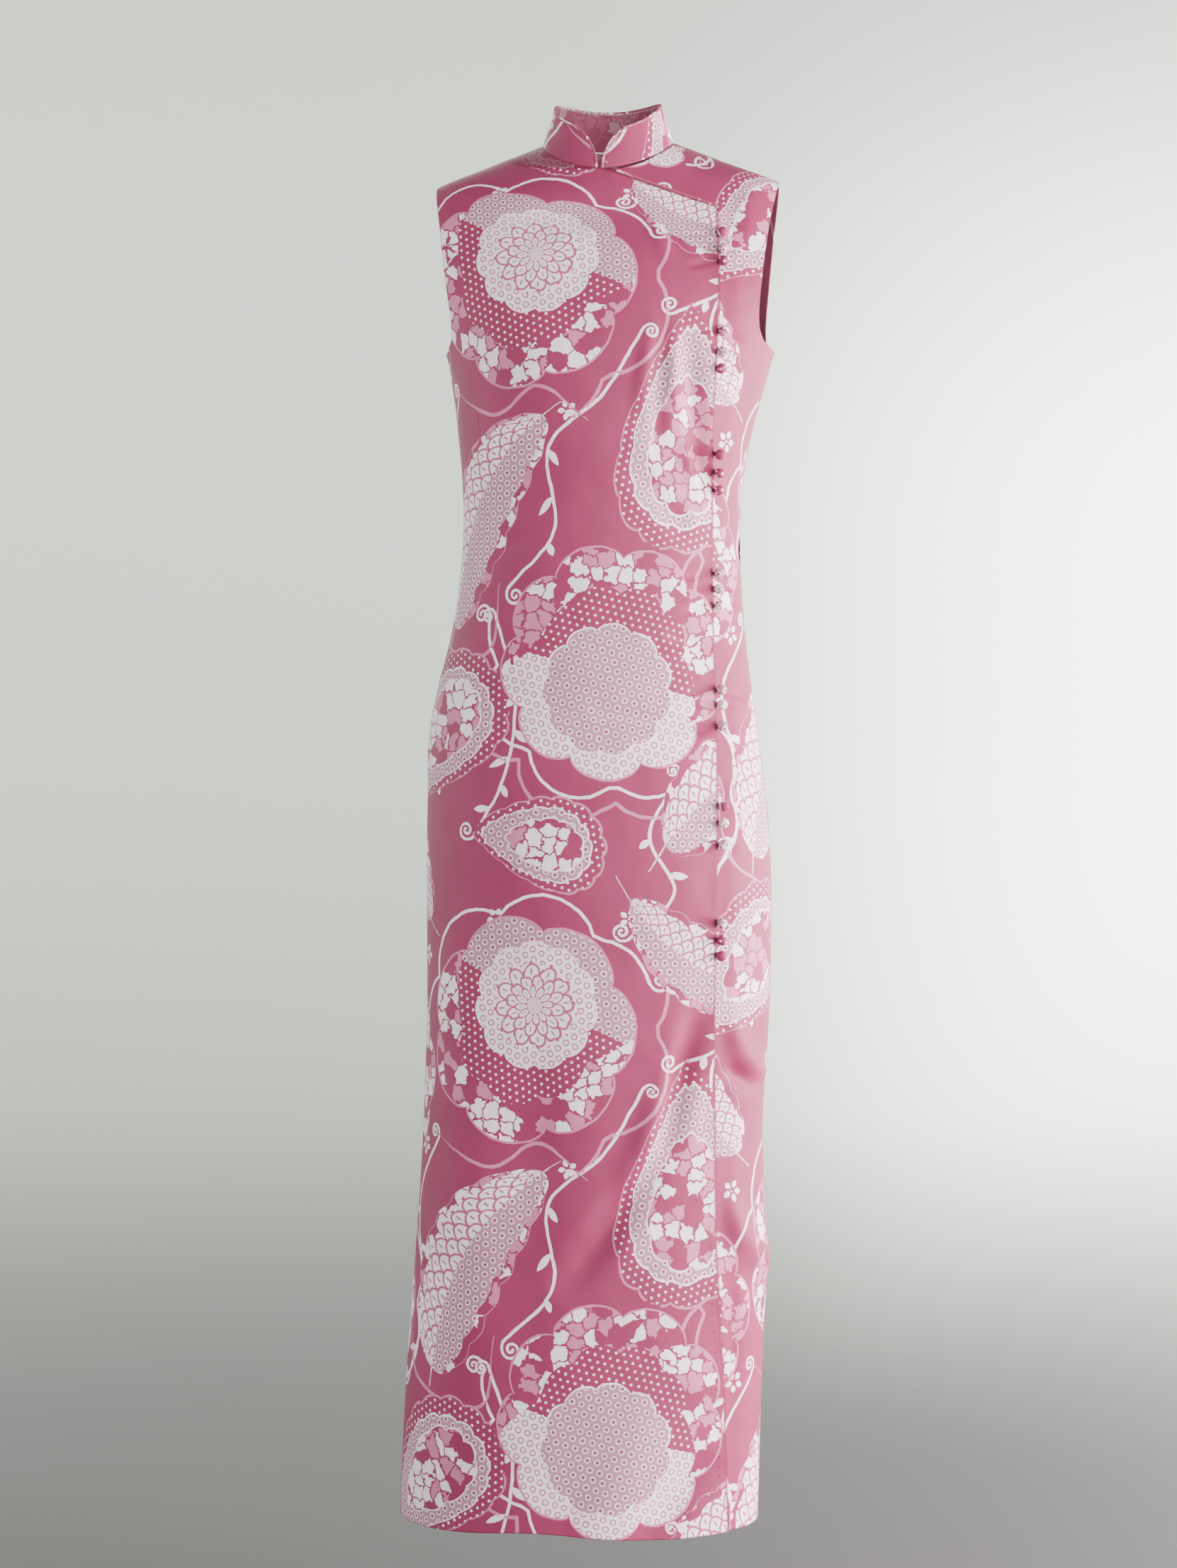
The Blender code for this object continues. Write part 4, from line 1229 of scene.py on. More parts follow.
class Graph:
    """A node tree in the making: its methods add nodes and return their outputs as values."""

    def __init__(self, tree: bpy.types.NodeTree) -> None:
        """Starts on a node tree."""
        self.tree = tree

    def feed(self, socket: bpy.types.NodeSocket, value: object) -> None:
        """Joins a value to an input, or sets the input to a plain number or row."""
        if isinstance(value, Value):
            self.tree.links.new(value.socket, socket)
        else:
            socket.default_value = value

    def add(self, kind: str, settings: dict | None = None, **inputs: object) -> bpy.types.Node:
        """Adds a node, sets it up and feeds its inputs.

        Args:
            kind: The node's type without the leading "ShaderNode".
            settings: Properties of the node.
            **inputs: What goes in, by input name with underscores, or i0, i1 for a number.

        Returns:
            The node.
        """
        node = self.tree.nodes.new("ShaderNode" + kind)
        for key, value in (settings or {}).items():
            setattr(node, key, value)
        for key, value in inputs.items():
            is_number = key[0] == "i" and key[1:].isdigit()
            self.feed(node.inputs[int(key[1:]) if is_number else key.replace("_", " ")], value)
        return node

    def node(
        self, kind: str, out: int | str = 0, settings: dict | None = None, **inputs: object
    ) -> Value:
        """Adds a node and returns one of its outputs, by number or name."""
        return Value(self, self.add(kind, settings, **inputs).outputs[out])

    def sum(self, operation: str, *sides: object) -> Value:
        """Adds the node of a sum, on vectors if a side is a vector or a colour.

        Args:
            operation: Blender's own word for the sum.
            *sides: Values, numbers or rows, in order.

        Returns:
            The outcome. A vector times a number is the vector scaled.
        """
        flags = [s.socket.type != "VALUE" if isinstance(s, Value) else isinstance(s, tuple) for s in sides]
        inputs = {f"i{k}": side for k, side in enumerate(sides)}
        if not any(flags):
            return self.node("Math", 0, {"operation": operation}, **inputs)
        if operation == "MULTIPLY" and not all(flags):
            vector, factor = sides if flags[0] else sides[::-1]
            return self.node("VectorMath", "Vector", {"operation": "SCALE"}, i0=vector, Scale=factor)
        out = "Value" if operation in ("LENGTH", "DOT_PRODUCT") else "Vector"
        return self.node("VectorMath", out, {"operation": operation}, **inputs)

    def split(self, vector: Value) -> tuple[Value, ...]:
        """The three numbers of a vector."""
        return tuple(Value(self, socket) for socket in self.add("SeparateXYZ", i0=vector).outputs)

    def merged(self, x: object, y: object) -> Value:
        """A flat vector from two numbers."""
        return self.node("CombineXYZ", i0=x, i1=y)

    def held(self, value: Value) -> Value:
        """The value, kept between 0 and 1."""
        return self.node("Clamp", Value=value)

    def step(
        self, value: Value, low: object, high: object, start: object = 0.0, end: object = 1.0
    ) -> Value:
        """Runs smoothly from start to end while the value goes from low to high."""
        settings = {"interpolation_type": "SMOOTHSTEP", "clamp": True}
        names = {"Value": value, "From_Min": low, "From_Max": high, "To_Min": start, "To_Max": end}
        return self.node("MapRange", 0, settings, **names)

    def mix(self, factor: object, a: object, b: object) -> Value:
        """A colour between two, by a factor."""
        return self.node("Mix", 2, {"data_type": "RGBA"}, i0=factor, i6=a, i7=b)

    def blend(self, factor: object, a: object, b: object) -> Value:
        """A number between two, by a factor."""
        return self.node("Mix", 0, {"data_type": "FLOAT"}, i0=factor, i2=a, i3=b)

    def noise(self, place: Value, scale: float, detail: float, out: str = "Fac") -> Value:
        """Soft noise on the flat cloth."""
        settings = {"noise_dimensions": "2D"}
        return self.node("TexNoise", out, settings, Vector=place, Scale=scale, Detail=detail)

    def attribute(self, name: str, out: str = "Vector") -> Value:
        """An attribute of the mesh."""
        return self.node("Attribute", out, {"attribute_name": name, "attribute_type": "GEOMETRY"})

    def coat(self, looks: dict[str, object]) -> None:
        """Feeds the inputs of a material's main shader, by name."""
        shader = self.tree.nodes["Principled BSDF"]
        for name, value in looks.items():
            self.feed(shader.inputs[name], value)

    def place(self, group: bpy.types.NodeTree, **inputs: object) -> dict[str, Value]:
        """Sets a group in the tree and returns its outputs by name."""
        node = self.add("Group", {"node_tree": group}, **inputs)
        return {socket.name: Value(self, socket) for socket in node.outputs}

    def close(self, **outputs: Value) -> bpy.types.NodeTree:
        """Gives a group its outputs, by name with underscores, and returns the finished group."""
        kinds = {"VALUE": "Float", "VECTOR": "Vector", "RGBA": "Color"}
        for name, value in outputs.items():
            self.socket(name, "OUTPUT", kinds[value.socket.type])
        sink = self.tree.nodes.new("NodeGroupOutput")
        for socket, value in zip(sink.inputs, outputs.values()):
            self.feed(socket, value)
        return self.tree

    def socket(self, name: str, way: str, kind: str) -> None:
        """Adds a named socket to the group."""
        kind = "NodeSocket" + kind
        self.tree.interface.new_socket(name=name.replace("_", " "), in_out=way, socket_type=kind)


def new_material(name: str) -> tuple[bpy.types.Material, Graph]:
    """A new material and the graph of its nodes."""
    material = bpy.data.materials.new(name)
    material.use_nodes = True
    return material, Graph(material.node_tree)


def shader_group(name: str, **inputs: str) -> tuple:
    """Starts a shader node group with named inputs.

    Args:
        name: The group's name.
        **inputs: The kind of each input, Float or Vector, by its name with underscores.

    Returns:
        The graph, then the group's inputs as values in the same order.
    """
    graph = Graph(bpy.data.node_groups.new(name, "ShaderNodeTree"))
    for key, kind in inputs.items():
        graph.socket(key, "INPUT", kind)
    source = graph.tree.nodes.new("NodeGroupInput")
    return graph, *(Value(graph, socket) for socket in source.outputs[: len(inputs)])


class Stroke(Enum):
    """What a stroke of the print is, as a number that the shader reads."""

    WHITE_LINE = 0
    PALE_LINE = 1
    WHITE_LEAF = 2
    PALE_LEAF = 3


class Outline(Enum):
    """The outline of a large motif, as a number that the shader reads."""

    ROSETTE = 0
    DROP = 1
    LEAF = 2

    def mask(self, number: Value) -> Value:
        """1 where a shader's number stands for this outline, else 0."""
        return number.matches(float(self.value), 0.5)


class Motif(NamedTuple):
    """A large motif: its middle on the flat cloth, its turn in degrees, its radius and a draw.

    The draw is a number between 0 and 1 that picks its fills and how many lobes it has.
    """

    u: float
    v: float
    turn: float
    radius: float
    outline: Outline
    draw: float


class Rim(NamedTuple):
    """A lobed line round part of a motif, in radii and degrees, with a curl at its end."""

    motif: int
    size: float
    lobes: int
    start: float
    end: float
    pale: bool = False


class Vine(NamedTuple):
    """A line through points, across and up in turn, with leaves and a curl at each end.

    Without a curl both its ends taper.
    """

    points: Row
    curl: float = 0.0
    hand: int = 1
    leaves: int = 0
    pale: bool = False


@dataclass
class Pen:
    """Collects the print's strokes as short straight stretches with a half width each."""

    white_half: float = 0.0016
    pale_half: float = 0.0018
    leaf_length: float = 0.017
    leaf_half: float = 0.0036
    leaf_turn: float = 0.9
    petals: int = 5
    curl_turns: float = 1.6
    curl_points: int = 28
    curl_share: float = 0.85
    rim_curl: float = 0.011
    second_curl: float = 0.75
    parts: list[Array] = field(default_factory=list)

    def line(self, points: Array, half_width: float | Array, stroke: Stroke) -> None:
        """Draws a line through points."""
        width = np.broadcast_to(half_width, len(points) - 1)
        kind = np.full(len(width), stroke.value)
        self.parts.append(np.column_stack([points[:-1], points[1:], width, kind]))

    def leaf(self, foot: Array, turn: float, length: float, half_width: float, stroke: Stroke) -> None:
        """Draws a leaf from its foot along a direction: its width follows half a sine wave."""
        tip = foot + length * np.array([math.cos(turn), math.sin(turn)])
        self.parts.append(np.array([[*foot, *tip, half_width, stroke.value]]))

    def blossom(self, centre: Row, radius: float, turn: float) -> None:
        """Draws a small flower of five petals round a dot."""
        middle = np.array(centre)
        for k in range(self.petals):
            way = turn + 2 * math.pi * k / self.petals
            foot = middle + 0.25 * radius * np.array([math.cos(way), math.sin(way)])
            self.leaf(foot, way, 0.75 * radius, 0.27 * radius, Stroke.WHITE_LEAF)
        self.line(np.array([middle, middle]), 0.13 * radius, Stroke.WHITE_LINE)

    def curl(self, path: Array, radius: float, hand: int, stroke: Stroke) -> None:
        """Draws a spiral that goes on from a line's end and winds in, to the left where hand is 1.

        Its radius shrinks by 0.86 times the share of the way to the power 0.8.
        """
        way = path[-1] - path[-2]
        share = np.linspace(0, 1, self.curl_points)
        angle = math.atan2(way[1], way[0]) + hand * (2 * self.curl_turns * share - 0.5) * math.pi
        ring = np.stack([np.cos(angle), np.sin(angle)], axis=1)
        reach = radius * (1 - 0.86 * share**0.8)
        spiral = path[-1] - radius * ring[0] + reach[:, None] * ring
        self.line(spiral, self.white_half * self.curl_share, stroke)

    def vine(self, vine: Vine) -> None:
        """Draws a vine along a smooth curve: leaves on both sides, and curled or tapering ends."""
        rows = [(float(k), *pair) for k, pair in enumerate(np.reshape(vine.points, (-1, 2)))]
        curve = Table(("step", "u", "v"), tuple(rows))
        steps = np.linspace(0, len(rows) - 1, 16 * len(rows))
        path = np.stack([curve.at("u", steps), curve.at("v", steps)], axis=1)
        stroke = Stroke.PALE_LINE if vine.pale else Stroke.WHITE_LINE
        half_width = np.full(len(path) - 1, self.pale_half if vine.pale else self.white_half)
        if vine.curl:
            self.curl(path, vine.curl, vine.hand, stroke)
            self.curl(path[::-1], vine.curl * self.second_curl, -vine.hand, stroke)
        else:
            rise = np.clip(np.linspace(0, 4, len(half_width)), 0.3, 1)
            half_width *= rise * rise[::-1]
        self.line(path, half_width, stroke)
        for k in range(vine.leaves):
            i = int(len(path) * (0.35 + 0.6 * k / vine.leaves))
            way = path[i + 1] - path[i - 1]
            turn = math.atan2(way[1], way[0]) + (self.leaf_turn if k % 2 else -self.leaf_turn)
            leaf = Stroke.PALE_LEAF if vine.pale else Stroke.WHITE_LEAF
            self.leaf(path[i], turn, self.leaf_length * (0.8 + 0.3 * (k % 3)), self.leaf_half, leaf)

    def rim(self, rim: Rim, motif: Motif) -> None:
        """Draws a scalloped arc: the radius dips by about a sixth between its round lobes."""
        angle = np.radians(np.linspace(rim.start, rim.end, max(int(abs(rim.end - rim.start) / 4), 8)))
        reach = rim.size * motif.radius * (0.84 + 0.16 * np.abs(np.sin(rim.lobes * angle / 2)) ** 0.7)
        ring = np.stack([np.cos(angle), np.sin(angle)], axis=1) * reach[:, None]
        path = np.array([motif.u, motif.v]) + ring
        stroke = Stroke.PALE_LINE if rim.pale else Stroke.WHITE_LINE
        self.line(path, self.pale_half if rim.pale else self.white_half, stroke)
        if not rim.pale:
            self.curl(path, self.rim_curl, -1 if rim.end > rim.start else 1, stroke)

    def strokes(self) -> Array:
        """All stretches: both ends, half width and kind."""
        return np.concatenate(self.parts)


@dataclass
class Print:
    """The layout of the print on the flat cloth, which repeats in both directions."""

    repeat: tuple[float, float] = (0.52, 0.74)
    motifs: tuple[Motif, ...] = (
        Motif(-0.075, -0.150, -25, 0.112, Outline.ROSETTE, 0.10),
        Motif(0.078, -0.318, 18, 0.100, Outline.DROP, 0.30),
        Motif(-0.140, -0.375, -32, 0.118, Outline.LEAF, 0.20),
        Motif(0.015, -0.530, 165, 0.116, Outline.ROSETTE, 0.70),
        Motif(-0.168, -0.600, 150, 0.085, Outline.DROP, 0.80),
        Motif(0.235, -0.200, 70, 0.100, Outline.ROSETTE, 0.45),
        Motif(0.095, -0.085, 58, 0.086, Outline.LEAF, 0.70),
        Motif(0.215, -0.430, 200, 0.085, Outline.ROSETTE, 0.90),
        Motif(0.142, -0.640, -60, 0.100, Outline.LEAF, 0.40),
        Motif(-0.055, -0.715, 100, 0.060, Outline.DROP, 0.55),
        Motif(0.265, -0.715, 25, 0.085, Outline.LEAF, 0.90),
    )
    rims: tuple[Rim, ...] = (
        Rim(0, 1.20, 7, 200, 20),
        Rim(0, 1.36, 7, 40, -70, pale=True),
        Rim(3, 1.20, 8, 330, 160),
        Rim(3, 1.38, 8, 300, 200, pale=True),
        Rim(5, 1.22, 7, 100, 290),
        Rim(7, 1.26, 6, -60, 130),
        Rim(7, 1.48, 6, 100, 200, pale=True),
    )
    vines: tuple[Vine, ...] = (
        Vine((0.045, -0.205, 0.005, -0.270, -0.050, -0.320, -0.045, -0.400, -0.095, -0.455), 0.011, 1, 4),
        Vine((0.165, -0.010, 0.170, -0.090, 0.130, -0.160, 0.075, -0.190), 0.010, -1, 4),
        Vine((0.150, -0.330, 0.125, -0.400, 0.145, -0.470, 0.130, -0.540, 0.165, -0.570), 0.010, 1, 4),
        Vine((-0.110, -0.480, -0.085, -0.560, -0.095, -0.640, -0.130, -0.700), 0.011, -1, 5),
        Vine((0.080, -0.640, 0.050, -0.700, 0.075, -0.755, 0.030, -0.800), 0.010, -1, 3),
        Vine((0.345, -0.260, 0.300, -0.330, 0.325, -0.430, 0.290, -0.510), 0.012, -1, 5),
        Vine((0.225, -0.540, 0.215, -0.610, 0.190, -0.680, 0.205, -0.770), 0.011, 1, 4),
        Vine((-0.010, -0.295, -0.060, -0.260, -0.110, -0.285, -0.180, -0.255), pale=True),
        Vine((0.170, -0.300, 0.150, -0.380, 0.090, -0.430, 0.080, -0.470), pale=True),
        Vine((-0.230, -0.430, -0.205, -0.500, -0.120, -0.520, -0.105, -0.450), pale=True),
    )
    blossoms: tuple[Row, ...] = (
        (0.030, -0.040, 0.010),
        (-0.030, -0.285, 0.010),
        (0.145, -0.210, 0.009),
        (-0.205, -0.270, 0.011),
        (-0.020, -0.440, 0.009),
        (-0.105, -0.780, 0.010),
        (0.110, -0.575, 0.008),
        (0.310, -0.080, 0.011),
        (0.250, -0.300, 0.009),
        (0.335, -0.650, 0.010),
    )
    slimness = {Outline.ROSETTE: 1.0, Outline.DROP: 0.86, Outline.LEAF: 0.47}
    leaf_bend: float = 0.22
    blossom_turn: float = 0.7
    slots: int = 3
    block: int = 3000

    @classmethod
    def stroke_sockets(cls) -> list[str]:
        """The names of the shader's inputs for both ends of each of the nearest strokes."""
        return [f"{way}_{k}" for k in range(cls.slots) for way in ("From", "To")]

    def drawn(self) -> Array:
        """Draws the rims, vines and blossoms, and returns their strokes."""
        pen = Pen()
        for rim in self.rims:
            pen.rim(rim, self.motifs[rim.motif])
        for vine in self.vines:
            pen.vine(vine)
        for k, (u, v, radius) in enumerate(self.blossoms):
            pen.blossom((u, v), radius, self.blossom_turn * k)
        return pen.strokes()

    def wrapped(self, places: Array, centre: Array) -> Array:
        """From each centre to each place the shortest way, with the print's repeats counted in."""
        repeat = np.array(self.repeat, np.float32)
        away = places[:, None] - centre[None]
        return away - np.round(away / repeat) * repeat

    def nearest_motifs(self, places: Array) -> dict[str, Array]:
        """The motif that each place lies in, or else the nearest.

        A place's distance is sqrt((x / w)^2 + y^2) in the motif's own turned radii, where w is its
        outline's slimness, and the bend of a leaf is taken off x.
        """
        rows = [(m.u, m.v, math.radians(m.turn), m.radius, m.outline.value, m.draw) for m in self.motifs]
        motifs = np.array(rows, np.float32)
        away = self.wrapped(places, motifs[:, :2])
        across, along = np.cos(motifs[:, 2]), np.sin(motifs[:, 2])
        x = (away[..., 0] * across + away[..., 1] * along) / motifs[:, 3]
        y = (away[..., 1] * across - away[..., 0] * along) / motifs[:, 3]
        slim = np.array([self.slimness[m.outline] for m in self.motifs])
        bend = np.where(motifs[:, 4] == Outline.LEAF.value, self.leaf_bend, 0.0)
        best = np.argmin(np.hypot((x - bend * y**2) / slim, y), axis=1)
        centre = places - away[np.arange(len(places)), best]
        return {
            "motif_place": np.column_stack([centre, motifs[best, 2]]),
            "motif_kind": motifs[best, 3:6],
        }

    def nearest_strokes(self, places: Array) -> dict[str, Array]:
        """The three stretches whose edges lie nearest to each place.

        The distance to a stretch from a to b is the length of p - a - t(b - a), with t held
        between 0 and 1.
        """
        drawn = self.drawn().astype(np.float32)
        middle, half = (drawn[:, :2] + drawn[:, 2:4]) / 2, (drawn[:, 2:4] - drawn[:, :2]) / 2
        square = np.maximum((4 * half**2).sum(axis=1), 1e-12)
        ends = np.empty((self.slots, len(places), 6), np.float32)
        for low in range(0, len(places), self.block):
            some = places[low : low + self.block]
            away = self.wrapped(some, middle)
            from_a = away + half
            t = np.clip((from_a * 2 * half).sum(axis=-1) / square, 0, 1)
            gap = np.linalg.norm(from_a - t[..., None] * 2 * half, axis=-1) - drawn[:, 4]
            near = np.argpartition(gap, self.slots, axis=1)[:, : self.slots]
            for k, pick in enumerate(near.T):
                own = some - away[np.arange(len(some)), pick]
                both = [own - half[pick], drawn[pick, 4], own + half[pick], drawn[pick, 5]]
                ends[k, low : low + self.block] = np.column_stack(both)
        halves = [part for slot in ends for part in (slot[:, :3], slot[:, 3:])]
        return {f"stroke_{name.lower()}": part for name, part in zip(self.stroke_sockets(), halves)}

    def dress(self, obj: bpy.types.Object, piece: Piece) -> None:
        """Gives each face the motif and the strokes nearest to it, for the shader to draw.

        Args:
            obj: The piece's object.
            piece: The piece that it was built from.
        """
        middles = piece.face_places().astype(np.float32).round(6)
        places, back = np.unique(middles, axis=0, return_inverse=True)
        for name, value in (self.nearest_motifs(places) | self.nearest_strokes(places)).items():
            attribute = obj.data.attributes.new(name, "FLOAT_VECTOR", "FACE")
            attribute.data.foreach_set("vector", value[back.ravel()].astype(np.float32).ravel())


@dataclass(frozen=True)
class Dyes:
    """The colours of the printed cloth, linear, a deep crimson painted as shade in seams and beside the
    lapped edge, and how soft a printed edge is.
    """

    ground: Row = (0.270, 0.034, 0.096, 1.0)
    pale: Row = (0.54, 0.17, 0.29, 1.0)
    mauve: Row = (0.42, 0.20, 0.28, 1.0)
    white: Row = (0.84, 0.69, 0.77, 1.0)
    line: Row = (0.40, 0.08, 0.18, 1.0)
    faded: Row = (0.45, 0.12, 0.19, 1.0)
    # painted shade: deep crimson for the crevice beside the lapped edge and along seams and panel edges
    painted_crease_shade: Row = (0.17, 0.012, 0.045, 1.0)
    fuzz: float = 0.00018


class PrintShader:
    """The node groups that draw the print on the flat cloth map."""

    core_size: float = 0.56
    belt: float = 0.80
    dot_rows: float = 1.732

    def __init__(self, dyes: Dyes) -> None:
        """Builds the small groups and the print group that uses them."""
        self.dyes = dyes
        self.hand = self.hand_drawn()
        self.stroke = self.drawn_stroke()
        self.disc = self.lobed_disc()
        self.space = self.motif_space()
        self.net = self.petal_net()
        self.dots = self.ringed_dots()
        self.patches = self.broken_patches()
        self.fills = self.motif_fills()
        self.whole = self.print_colour()

    def hand_drawn(self) -> bpy.types.NodeTree:
        """Shifts a place a little by noise, so that lines look drawn by hand."""
        inputs = {"Place": "Vector", "Amount": "Float", "Length": "Float"}
        g, place, amount, length = shader_group("hand_drawn", **inputs)
        noise = g.noise(place * (1.0 / length), 1.0, 1.5, "Color")
        shift = (noise - (0.5, 0.5, 0.5)) * (amount * 2.0)
        return g.close(Place=place + shift * (1.0, 1.0, 0.0))

    def drawn_stroke(self) -> bpy.types.NodeTree:
        """One stretch of a line or one leaf: a mask for white and one for pale.

        The foot of the place on the stretch is a share of the way along it, held between 0 and 1.
        A leaf's half width there is sin(pi share)^0.8 of its own, a line's is even.
        """
        g, place, start, end = shader_group("drawn_stroke", Place="Vector", From="Vector", To="Vector")
        x0, y0, width = g.split(start)
        x1, y1, kind = g.split(end)
        foot = g.merged(x0, y0)
        run, away = g.merged(x1, y1) - foot, place - foot
        share = g.held(away.dot(run) / run.dot(run))
        gap = (away - run * share).length()
        swell = (share * math.pi).sine().most(0.0) ** 0.8
        reach = width * g.blend(kind > 1.5, 1.0, swell)
        mask = g.step(gap, reach - self.dyes.fuzz, reach + self.dyes.fuzz, 1.0, 0.0)
        pale = kind % 2.0 > 0.5
        return g.close(White=mask * (1.0 - pale), Pale=mask * pale)

    def lobed_disc(self) -> bpy.types.NodeTree:
        """Polar places on a disc whose rim has round lobes: 1 at the rim, and a turn of 0 to 1.

        The rim's radius is 1 - depth (1 - |sin(count angle / 2)|^0.6).
        """
        inputs = {"X": "Float", "Y": "Float", "Count": "Float", "Depth": "Float"}
        g, x, y, count, depth = shader_group("lobed_disc", **inputs)
        angle = g.sum("ARCTAN2", y, x)
        dip = (1.0 - abs((count * angle * 0.5).sine()) ** 0.6) * depth
        return g.close(Ring=g.merged(x, y).length() / (1.0 - dip), Turn=angle / (2 * math.pi))

    def motif_space(self) -> bpy.types.NodeTree:
        """Where a place lies in its motif: its share of the way to the rim and to the inner form's.

        x and y are the place turned with the motif and counted in its radii. A rosette is a lobed
        disc with a smaller one in it, off its middle. A drop is a disc whose width shrinks and
        whose middle bends aside towards its tip. A leaf's half width is 0.45 sqrt(1 - y^2), a
        little more at its foot, and its middle line bends by 0.22 y^2.
        """
        g, place, centre, kind = shader_group("motif_space", Place="Vector", Centre="Vector", Kind="Vector")
        cu, cv, turn = g.split(centre)
        radius, outline, draw = g.split(kind)
        is_drop, is_leaf = Outline.DROP.mask(outline), Outline.LEAF.mask(outline)
        away = place - g.merged(cu, cv)
        local = g.node("VectorRotate", 0, {"rotation_type": "Z_AXIS"}, Vector=away, Angle=turn * -1.0)
        x, y, _ = g.split(local * (1.0 / radius))
        rise = g.held((y + 1.0) / 2.3)
        drop_x = (x - rise**2.0 * 0.62) / (1.0 - rise**1.4 * 0.74)
        disc_x, disc_y = g.blend(is_drop, x, drop_x), g.blend(is_drop, y, y * 0.86 - 0.10)
        lobes = g.blend(is_drop, 7.0, 15.0) + (draw * 4.0).floor()
        outer = g.place(self.disc, X=disc_x, Y=disc_y, Count=lobes, Depth=g.blend(is_drop, 0.13, 0.05))
        core_y = (disc_y - g.blend(is_drop, 0.24, -0.14)) / self.core_size
        inner = g.place(self.disc, X=disc_x / self.core_size, Y=core_y, Count=11.0, Depth=0.10)
        square = y * y
        leaf_x = x - square * Print.leaf_bend
        notches = abs((y * 11.0).sine()) * 0.09 + 0.91
        leaf_half = (0.45 - y * 0.10) * (1.0 - square).most(0.0004).root() * notches
        leaf_ring = abs(leaf_x) / leaf_half
        return g.close(
            Ring=g.blend(is_leaf, outer["Ring"], leaf_ring),
            Core=g.blend(is_leaf, inner["Ring"], leaf_ring * 14.0),
            Net=g.blend(is_leaf, inner["Ring"], leaf_ring * 0.69),
            Net_Turn=g.blend(is_leaf, inner["Turn"], y * 0.5),
            Across=g.blend(is_leaf, x, leaf_x),
            Up=y,
            Local=local,
        )

    def petal_net(self) -> bpy.types.NodeTree:
        """Rows of round petals set half a step apart: a mask of their outlines and veins.

        Within a cell, a runs from -0.5 to 0.5 along the ring and b from 0 to 1 outwards. The
        outline is where sqrt(4 a^2 + b^2) is near 1, and the vein where a is near 0.
        """
        names = ("Ring", "Turn", "Rows", "Petals", "Width")
        g, ring, turn, rows, petals, width = shader_group("petal_net", **dict.fromkeys(names, "Float"))
        row = ring * rows
        b = row.fraction()
        along = turn * petals + row.floor() % 2.0 * 0.5
        a = (along + 64.0).fraction() - 0.5
        outline = abs(g.merged(a * 2.0, b).length() - 0.94)
        line = g.step(outline, width * 0.7, width * 1.3, 1.0, 0.0)
        vein = g.step(abs(a), 0.03, 0.06, 1.0, 0.0)
        return g.close(Line=line.most(vein * (b < 0.55)))

    def ringed_dots(self) -> bpy.types.NodeTree:
        """Dots in staggered rows, with a ring round each.

        Two nets of cells, each 1 wide and 1.732 high, lie half a cell apart. The nearer middle of
        the two gives the distance.
        """
        inputs = {"Local": "Vector", "Spacing": "Float", "Dot": "Float", "Ring": "Float"}
        g, local, spacing, dot, ring = shader_group("ringed_dots", **inputs)
        unit = local * (1.0 / spacing)
        gaps = []
        for shift in (64.0, 64.5):
            cell = (unit / (1.0, self.dot_rows, 1.0) + (shift, shift, 0.0)).fractions()
            gaps.append(((cell - (0.5, 0.5, 0.0)) * (1.0, self.dot_rows, 0.0)).length())
        gap = gaps[0].least(gaps[1]) * spacing
        return g.close(
            Dot=g.step(gap, dot - self.dyes.fuzz, dot + self.dyes.fuzz, 1.0, 0.0),
            Ring=g.step(abs(gap - ring), 0.00040, 0.00070, 1.0, 0.0),
        )

    def broken_patches(self) -> bpy.types.NodeTree:
        """Ragged patches, some white and some pale, with narrow gaps between."""
        g, place, size = shader_group("broken_patches", Place="Vector", Size="Float")
        ragged = g.place(self.hand, Place=place, Amount=0.0045, Length=0.007)["Place"]
        inputs = {"Vector": ragged * (1.0 / size), "Scale": 1.0}
        flat = {"voronoi_dimensions": "2D"}
        colour = g.node("TexVoronoi", "Color", flat | {"feature": "F1"}, **inputs)
        edge = g.node("TexVoronoi", "Distance", flat | {"feature": "DISTANCE_TO_EDGE"}, **inputs)
        draw = g.split(colour)[0]
        body = g.step(edge, 0.05, 0.09)
        white, pale = draw > 0.58, draw > 0.28
        return g.close(White=body * white, Pale=body * (pale - white))

    def motif_fills(self) -> bpy.types.NodeTree:
        """The four grounds that fill the motifs: netted white, ringed mauve, patches and dots."""
        inputs = {"Place": "Vector", "Local": "Vector", "Net": "Float", "Turn": "Float"}
        g, place, local, inner, turn = shader_group("motif_fills", **inputs)
        dyes = self.dyes
        net = g.place(self.net, Ring=inner, Turn=turn, Rows=6.0, Petals=12.0, Width=0.11)["Line"]
        big = g.place(self.dots, Local=local, Spacing=0.0098, Dot=0.0011, Ring=0.0026)
        tiny = g.place(self.dots, Local=local, Spacing=0.0076, Dot=0.0014, Ring=0.01)
        broken = g.place(self.patches, Place=place, Size=0.0150)
        lines = g.blend(inner > 0.70, net, big["Ring"])
        ringed = g.mix(big["Ring"], dyes.mauve, dyes.white)
        patched = g.mix(broken["Pale"], dyes.ground, dyes.pale)
        return g.close(
            Netted=g.mix(lines, dyes.white, dyes.line),
            Ringed=g.mix(big["Dot"], ringed, dyes.ground),
            Patched=g.mix(broken["White"], patched, dyes.white),
            Dotted=g.mix(tiny["Dot"], dyes.ground, dyes.white),
        )

